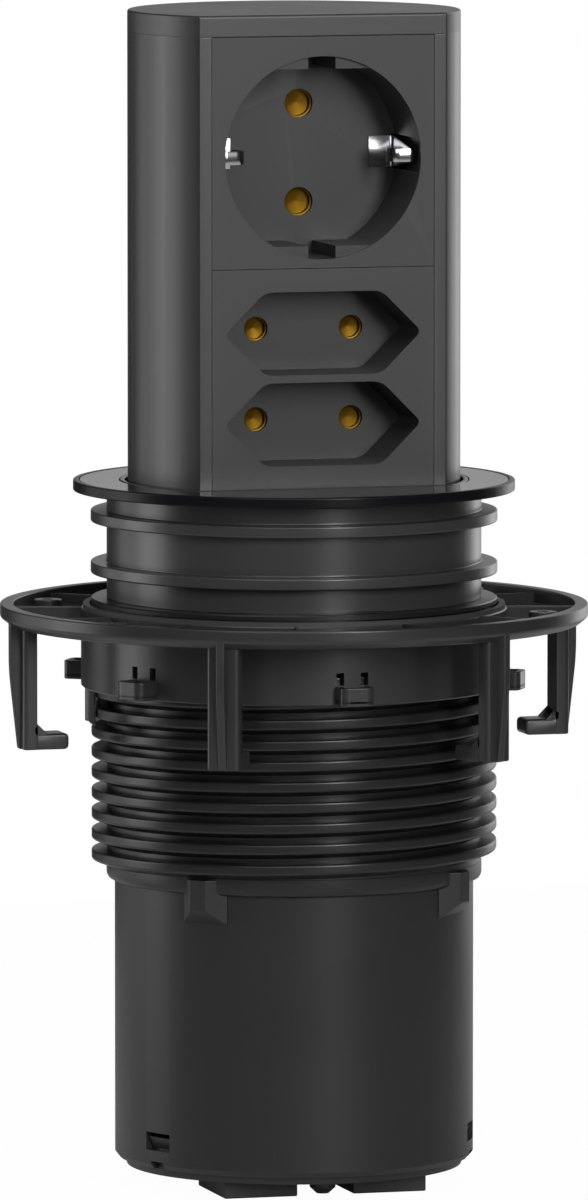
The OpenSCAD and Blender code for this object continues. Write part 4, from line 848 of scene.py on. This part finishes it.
housingValues = {
    "radius": 34.8, "wall": 1.5, "top": -30.1, "topEdge": 0.2, "low": -129.8, "foot": 34.0,
    "footHeight": 1.0, "windowAngle": 65.0, "windowWidth": 7.0, "windowHeight": 3.5, "windowZ": -124.45,
    "notchWidth": 3.8, "notchHeight": 1.5, "steps": 288, "lugHalf": 1.65, "lugRadius": 37.9,
    "lugTop": -72.4, "lugEdge": 0.12, "lugSink": 0.5, "lugSoft": 0.1, "shelf": -75.5, "flareLow": -78.3,
    "flareHalf": 4.75, "flareSink": 0.1, "lugLow": -81.0, "capEdge": 0.15, "blockEdge": 0.3,
}


def makeHousing(v):
    # wall on a grid of angles and heights with its windows left open, and four lugs whose plan flares into
    # the wall and whose underside slopes in to it
    radius = v["radius"]
    sides = (-v["windowAngle"], v["windowAngle"], 180 - v["windowAngle"], 180 + v["windowAngle"])
    halfWindow = math.degrees(v["windowWidth"] / 2 / radius)
    halfNotch = math.degrees(v["notchWidth"] / 2 / radius)
    low, high = v["windowZ"] - v["windowHeight"] / 2, v["windowZ"] + v["windowHeight"] / 2
    notch = v["low"] + v["notchHeight"]
    heights = [v["low"], v["low"] + v["footHeight"], notch, low, high, v["top"] - v["topEdge"], v["top"]]
    outer = [v["foot"], *[radius] * 5, radius - v["topEdge"]]
    edges = [a + s * w for a in sides for s in (-1, 1) for w in (halfWindow, halfNotch)]
    angles = tubeGrid(v["steps"], edges)
    openings = [(a, halfWindow, low, high) for a in sides]
    openings += [(a, halfNotch, v["low"] - 1, notch) for a in sides]
    solid = openCells(angles, heights, openings)
    wall = windowedTube(outer, radius - v["wall"], heights, angles, solid)
    half, inner, skirt = v["flareHalf"], radius - v["lugSink"], radius - v["flareSink"]
    flare = rounded([(-half, inner, 0), (half, inner, 0), (half, skirt, 0),
                     (v["lugHalf"], v["lugRadius"], v["lugEdge"]),
                     (-v["lugHalf"], v["lugRadius"], v["lugEdge"]), (-half, skirt, 0)])
    lug = slab(flare, v["flareLow"], v["lugTop"], v["lugSoft"])
    slope = (v["flareLow"] - v["lugLow"]) / (v["lugRadius"] - radius)
    lug[..., 2] -= np.where(lug[..., 2] < v["shelf"], (v["lugRadius"] - lug[..., 1]) * slope, 0)
    skins = [wall]
    for angle in sleeveValues["lugAngles"]:
        skins.append(lying(lug, angle))
    fitted(build("lowerHousing", skins), "lower_housing")


makeHousing(housingValues)
softened("bottom_cap", "bottomCap", housingValues["capEdge"])
softened("inlet_connector", "inletBlock", housingValues["blockEdge"])
softened("outlet_connector", "outletBlock", housingValues["blockEdge"])
print("housing made")

ringValues = {
    "outer": 57.0, "rimInner": 54.4, "top": -22.0, "face": 2.4, "bevel": 1.6, "low": -25.7, "web": 1.0,
    "webSink": (0.3, 0.2), "hub": 41.3, "bore": 39.6, "hubTop": -22.8, "hubTopEdge": 0.2,
    "hubLow": -38.0, "hubLowEdge": 0.25, "hubSteps": 240, "spokes": 12, "spoke": 0.9,
    "spokeOffset": 15.0, "spokeTop": -22.75, "spokeRise": 0.3, "spokeSink": (0.2, 0.3),
    "bossRadius": 2.7, "bossTop": -22.6, "bossRise": 0.4, "bossSteps": 40, "hole": 1.1, "holeLap": 0.03,
    "screwCircle": 49.5, "lugWidth": 6.7, "lugOut": 45.6, "lugSink": 0.4, "lugLow": -37.8,
    "lugHeight": 3.6, "lugWall": 1.2, "lugStep": 0.4, "slotX": 2.4, "slotWidth": 1.5, "slotLow": -34.1,
    "slotHigh": -31.7, "legWidth": 6.3, "legSink": 0.3, "legLow": -49.0, "legTop": -25.2,
    "plateIn": 52.2, "plateOut": 54.9, "stem": 1.6, "stemStart": -24.2, "stemTop": 57.0,
    "stemBend": -33.7, "stemEnd": 55.3, "toeIn": 45.9, "toeHeight": 3.1, "toeSink": 0.4, "toeRoot": 1.5,
    "gusset": 2.0, "gussetThick": 1.0, "gussetLow": 1.0, "gussetInset": 0.1, "tabIn": 39.45,
    "tabOut": 39.95, "tabLow": -45.0, "tabSink": 0.5, "tabAngle": 14.0, "tabEdges": (0.2, 0.3),
    "rimEdges": (0.25, 0.35, 0.4), "bossEdge": 0.2, "holeEdge": 0.15, "spokeEdge": 0.05,
    "spokeSoft": 0.2, "lugInner": 0.6, "lugSoft": 0.2, "lugFloorSoft": 0.25, "plateEdge": 0.2,
    "plateRound": 1.0, "plateSoft": 0.3, "stemEdge": 0.5, "stemRound": 3.0, "stemSoft": 0.25,
    "toeFillet": 1.4, "toeRound": 1.0, "toeSoft": 0.5, "gussetEdge": 0.1, "gussetSoft": 0.2,
}


def webSector(v, angle, steps=14, sideSteps=8):
    # a sixth of the web as a plate between the screw hole and the sector's edge, point for point by
    # direction seen from the hole
    a = np.radians(np.linspace(-30, 30, steps))
    inner, outer = v["hub"] - v["webSink"][0], v["rimInner"] + v["webSink"][1]
    arcIn = np.stack([inner * np.sin(a), inner * np.cos(a)], 1)
    arcOut = np.stack([outer * np.sin(a), outer * np.cos(a)], 1)[::-1]
    s = np.linspace(0, 1, sideSteps)[1:-1, None]
    edge = np.concatenate([arcIn, arcIn[-1] * (1 - s) + arcOut[0] * s,
                           arcOut, arcOut[-1] * (1 - s) + arcIn[0] * s])
    mid = np.array([0, v["screwCircle"]])
    away = edge - mid
    hole = mid + away / np.linalg.norm(away, axis=1)[:, None] * v["hole"]
    top, low = v["low"] + v["web"], v["low"]
    plate = np.array([raised(hole, top), raised(edge, top), raised(edge, low), raised(hole, low)])
    return skin(flat(plate, angle))


def ringLeg(v, angle):
    # a leg of four kinds of plate: a broad one, a stem that narrows downwards, a toe towards the sleeve
    # and two gussets
    half, low, back, out = v["legWidth"] / 2, v["legLow"], v["plateIn"], v["plateOut"]
    root, toeBack, toeTop = back + v["legSink"], back + v["toeSink"], low + v["toeHeight"]
    foot, tip, thick, inset = low + v["gussetLow"], back - v["gusset"], v["gussetThick"], v["gussetInset"]
    e, r = v["plateEdge"], v["plateRound"]
    plate = rounded([(-half, back, e), (half, back, e), (half, out, r), (-half, out, r)], steps=5)
    stem = rounded([(root, v["stemStart"], 0), (root, low, 0), (v["stemEnd"], low, v["stemEdge"]),
                    (v["stemTop"], v["stemBend"], v["stemRound"]), (v["stemTop"], v["stemStart"], 0)],
                   steps=5)
    toe = rounded([(toeBack, low, 0), (toeBack, toeTop + v["toeRoot"], 0), (back, toeTop + v["toeRoot"], 0),
                   (back, toeTop, v["toeFillet"]), (v["toeIn"], toeTop, v["toeRound"]),
                   (v["toeIn"], low, v["toeRound"])], steps=5)
    edge, soft = v["gussetEdge"], v["gussetSoft"]
    gusset = rounded([(root, foot, 0), (root, toeTop + v["gusset"], 0), (back, toeTop + v["gusset"], edge),
                      (tip, toeTop, edge), (tip, foot, 0)])
    return [lying(slab(plate, low, v["legTop"], v["plateSoft"]), angle),
            upright(slab(stem, -v["stem"] / 2, v["stem"] / 2, v["stemSoft"]), angle),
            upright(slab(toe, -half, half, v["toeSoft"]), angle),
            upright(slab(gusset, -half + inset, thick - half, soft), angle),
            upright(slab(gusset, half - thick, half - inset, soft), angle)]


def hubLug(v, angle):
    # a U-shaped pocket with rounded outer corners: a floor plate and a wall that follows the same outline
    half, out, r = v["lugWidth"] / 2, v["lugOut"], v["lugWidth"] / 4
    root, w, low = v["hub"] - v["lugSink"], v["lugWall"], v["lugLow"]

    def pocket(half, out, r):
        return rounded([(-half, root, 0), (-half, out, r), (half, out, r), (half, root, 0)], False, 8)

    outer, inner = pocket(half, out, r), pocket(half - w, out - w, v["lugInner"])
    both = np.concatenate([outer, inner[::-1]])
    return [lying(slab(outer, low, low + w, v["lugFloorSoft"]), angle),
            lying(slab(both, low + v["lugStep"], low + v["lugHeight"], v["lugSoft"]), angle)]


def makeRing(v):
    # rim, hub with slots, web, bosses, spokes, lugs, legs and two curved tabs below the hub
    hub, low, rise = v["hub"], v["low"], v["low"] + v["bossRise"]
    inside, corner, belly = v["rimEdges"]
    rim = rounded([(v["rimInner"], v["top"], inside), (v["outer"], v["top"], corner),
                   (v["outer"], v["top"] - v["face"], belly), (v["outer"] - v["bevel"], low, corner),
                   (v["rimInner"], low, inside)])
    skins = [turned(rim)]
    sixths = [i * 60 for i in range(6)]
    halfSlot = math.degrees(v["slotWidth"] / 2 / hub)
    slotAngles = [a + s * math.degrees(v["slotX"] / hub) for a in sixths for s in (-1, 1)]
    slots = [(a % 360, halfSlot, v["slotLow"], v["slotHigh"]) for a in slotAngles]
    angles = tubeGrid(v["hubSteps"], [a + s * halfSlot for a in slotAngles for s in (-1, 1)])
    heights = [v["hubLow"], v["hubLow"] + v["hubLowEdge"], v["slotLow"], v["slotHigh"],
               v["hubTop"] - v["hubTopEdge"], v["hubTop"]]
    outer = [hub - v["hubLowEdge"], *[hub] * 4, hub - v["hubTopEdge"]]
    skins.append(windowedTube(outer, v["bore"], heights, angles, openCells(angles, heights, slots)))
    hole = v["hole"] + v["holeLap"]
    boss = rounded([(hole, rise, 0), (v["bossRadius"], rise, 0),
                    (v["bossRadius"], v["bossTop"], v["bossEdge"]), (hole, v["bossTop"], v["holeEdge"])])
    for a in sixths:
        skins.append(webSector(v, a))
        out = Vector((math.sin(math.radians(a)), -math.cos(math.radians(a)))) * v["screwCircle"]
        skins.append(turned(boss, v["bossSteps"], (out.x, out.y)))
        skins += hubLug(v, a) + ringLeg(v, a + 30)
    spokeIn, spokeOut = hub - v["spokeSink"][0], v["rimInner"] + v["spokeSink"][1]
    spoke = slab(boxOutline(-v["spoke"] / 2, v["spoke"] / 2, spokeIn, spokeOut, v["spokeEdge"]),
                 low + v["spokeRise"], v["spokeTop"], v["spokeSoft"])
    for i in range(v["spokes"]):
        skins.append(lying(spoke, v["spokeOffset"] + i * 360 / v["spokes"]))
    tabTop = v["hubLow"] + v["tabSink"]
    inside, outside = v["tabEdges"]
    tab = rounded([(v["tabIn"], v["tabLow"], inside), (v["tabOut"], v["tabLow"], outside),
                   (v["tabOut"], tabTop, 0), (v["tabIn"], tabTop, 0)])
    for side in (-90, 90):
        spread = np.linspace(-v["tabAngle"], v["tabAngle"], 15)
        t = np.radians(cameraValues["azimuth"] + side + spread)[:, None]
        skins.append(skin(swept(tab[None, :, 0], t, tab[None, :, 1]), capped=True))
    fitted(build("fixingRing", skins), "fixing_ring")


makeRing(ringValues)
print("ring made")


def makeFollowers(crease=50):
    # smooth-shaded copies of the coiled lead and the spring's tape take the place of their CAD nodes; the
    # lead rides with the housing
    made = {}
    for nodeName, name in (("coiled_lead", "coiledLead"), ("spring_tape", "springTape")):
        data = frame["nodes"][nodeName].data.copy()
        data.polygons.foreach_set("use_smooth", [True] * len(data.polygons))
        data.set_sharp_from_angle(angle=math.radians(crease))
        data.materials.clear()
        data.materials.append(materials[nodeFinish[nodeName]])
        made[nodeName] = linked(name, data)
        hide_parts(nodeName)
    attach(made["coiled_lead"], "housing")
    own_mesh(made["coiled_lead"])
    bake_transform(made["spring_tape"])


makeFollowers()
print("lead and tape made")

bpy.context.view_layer.update()
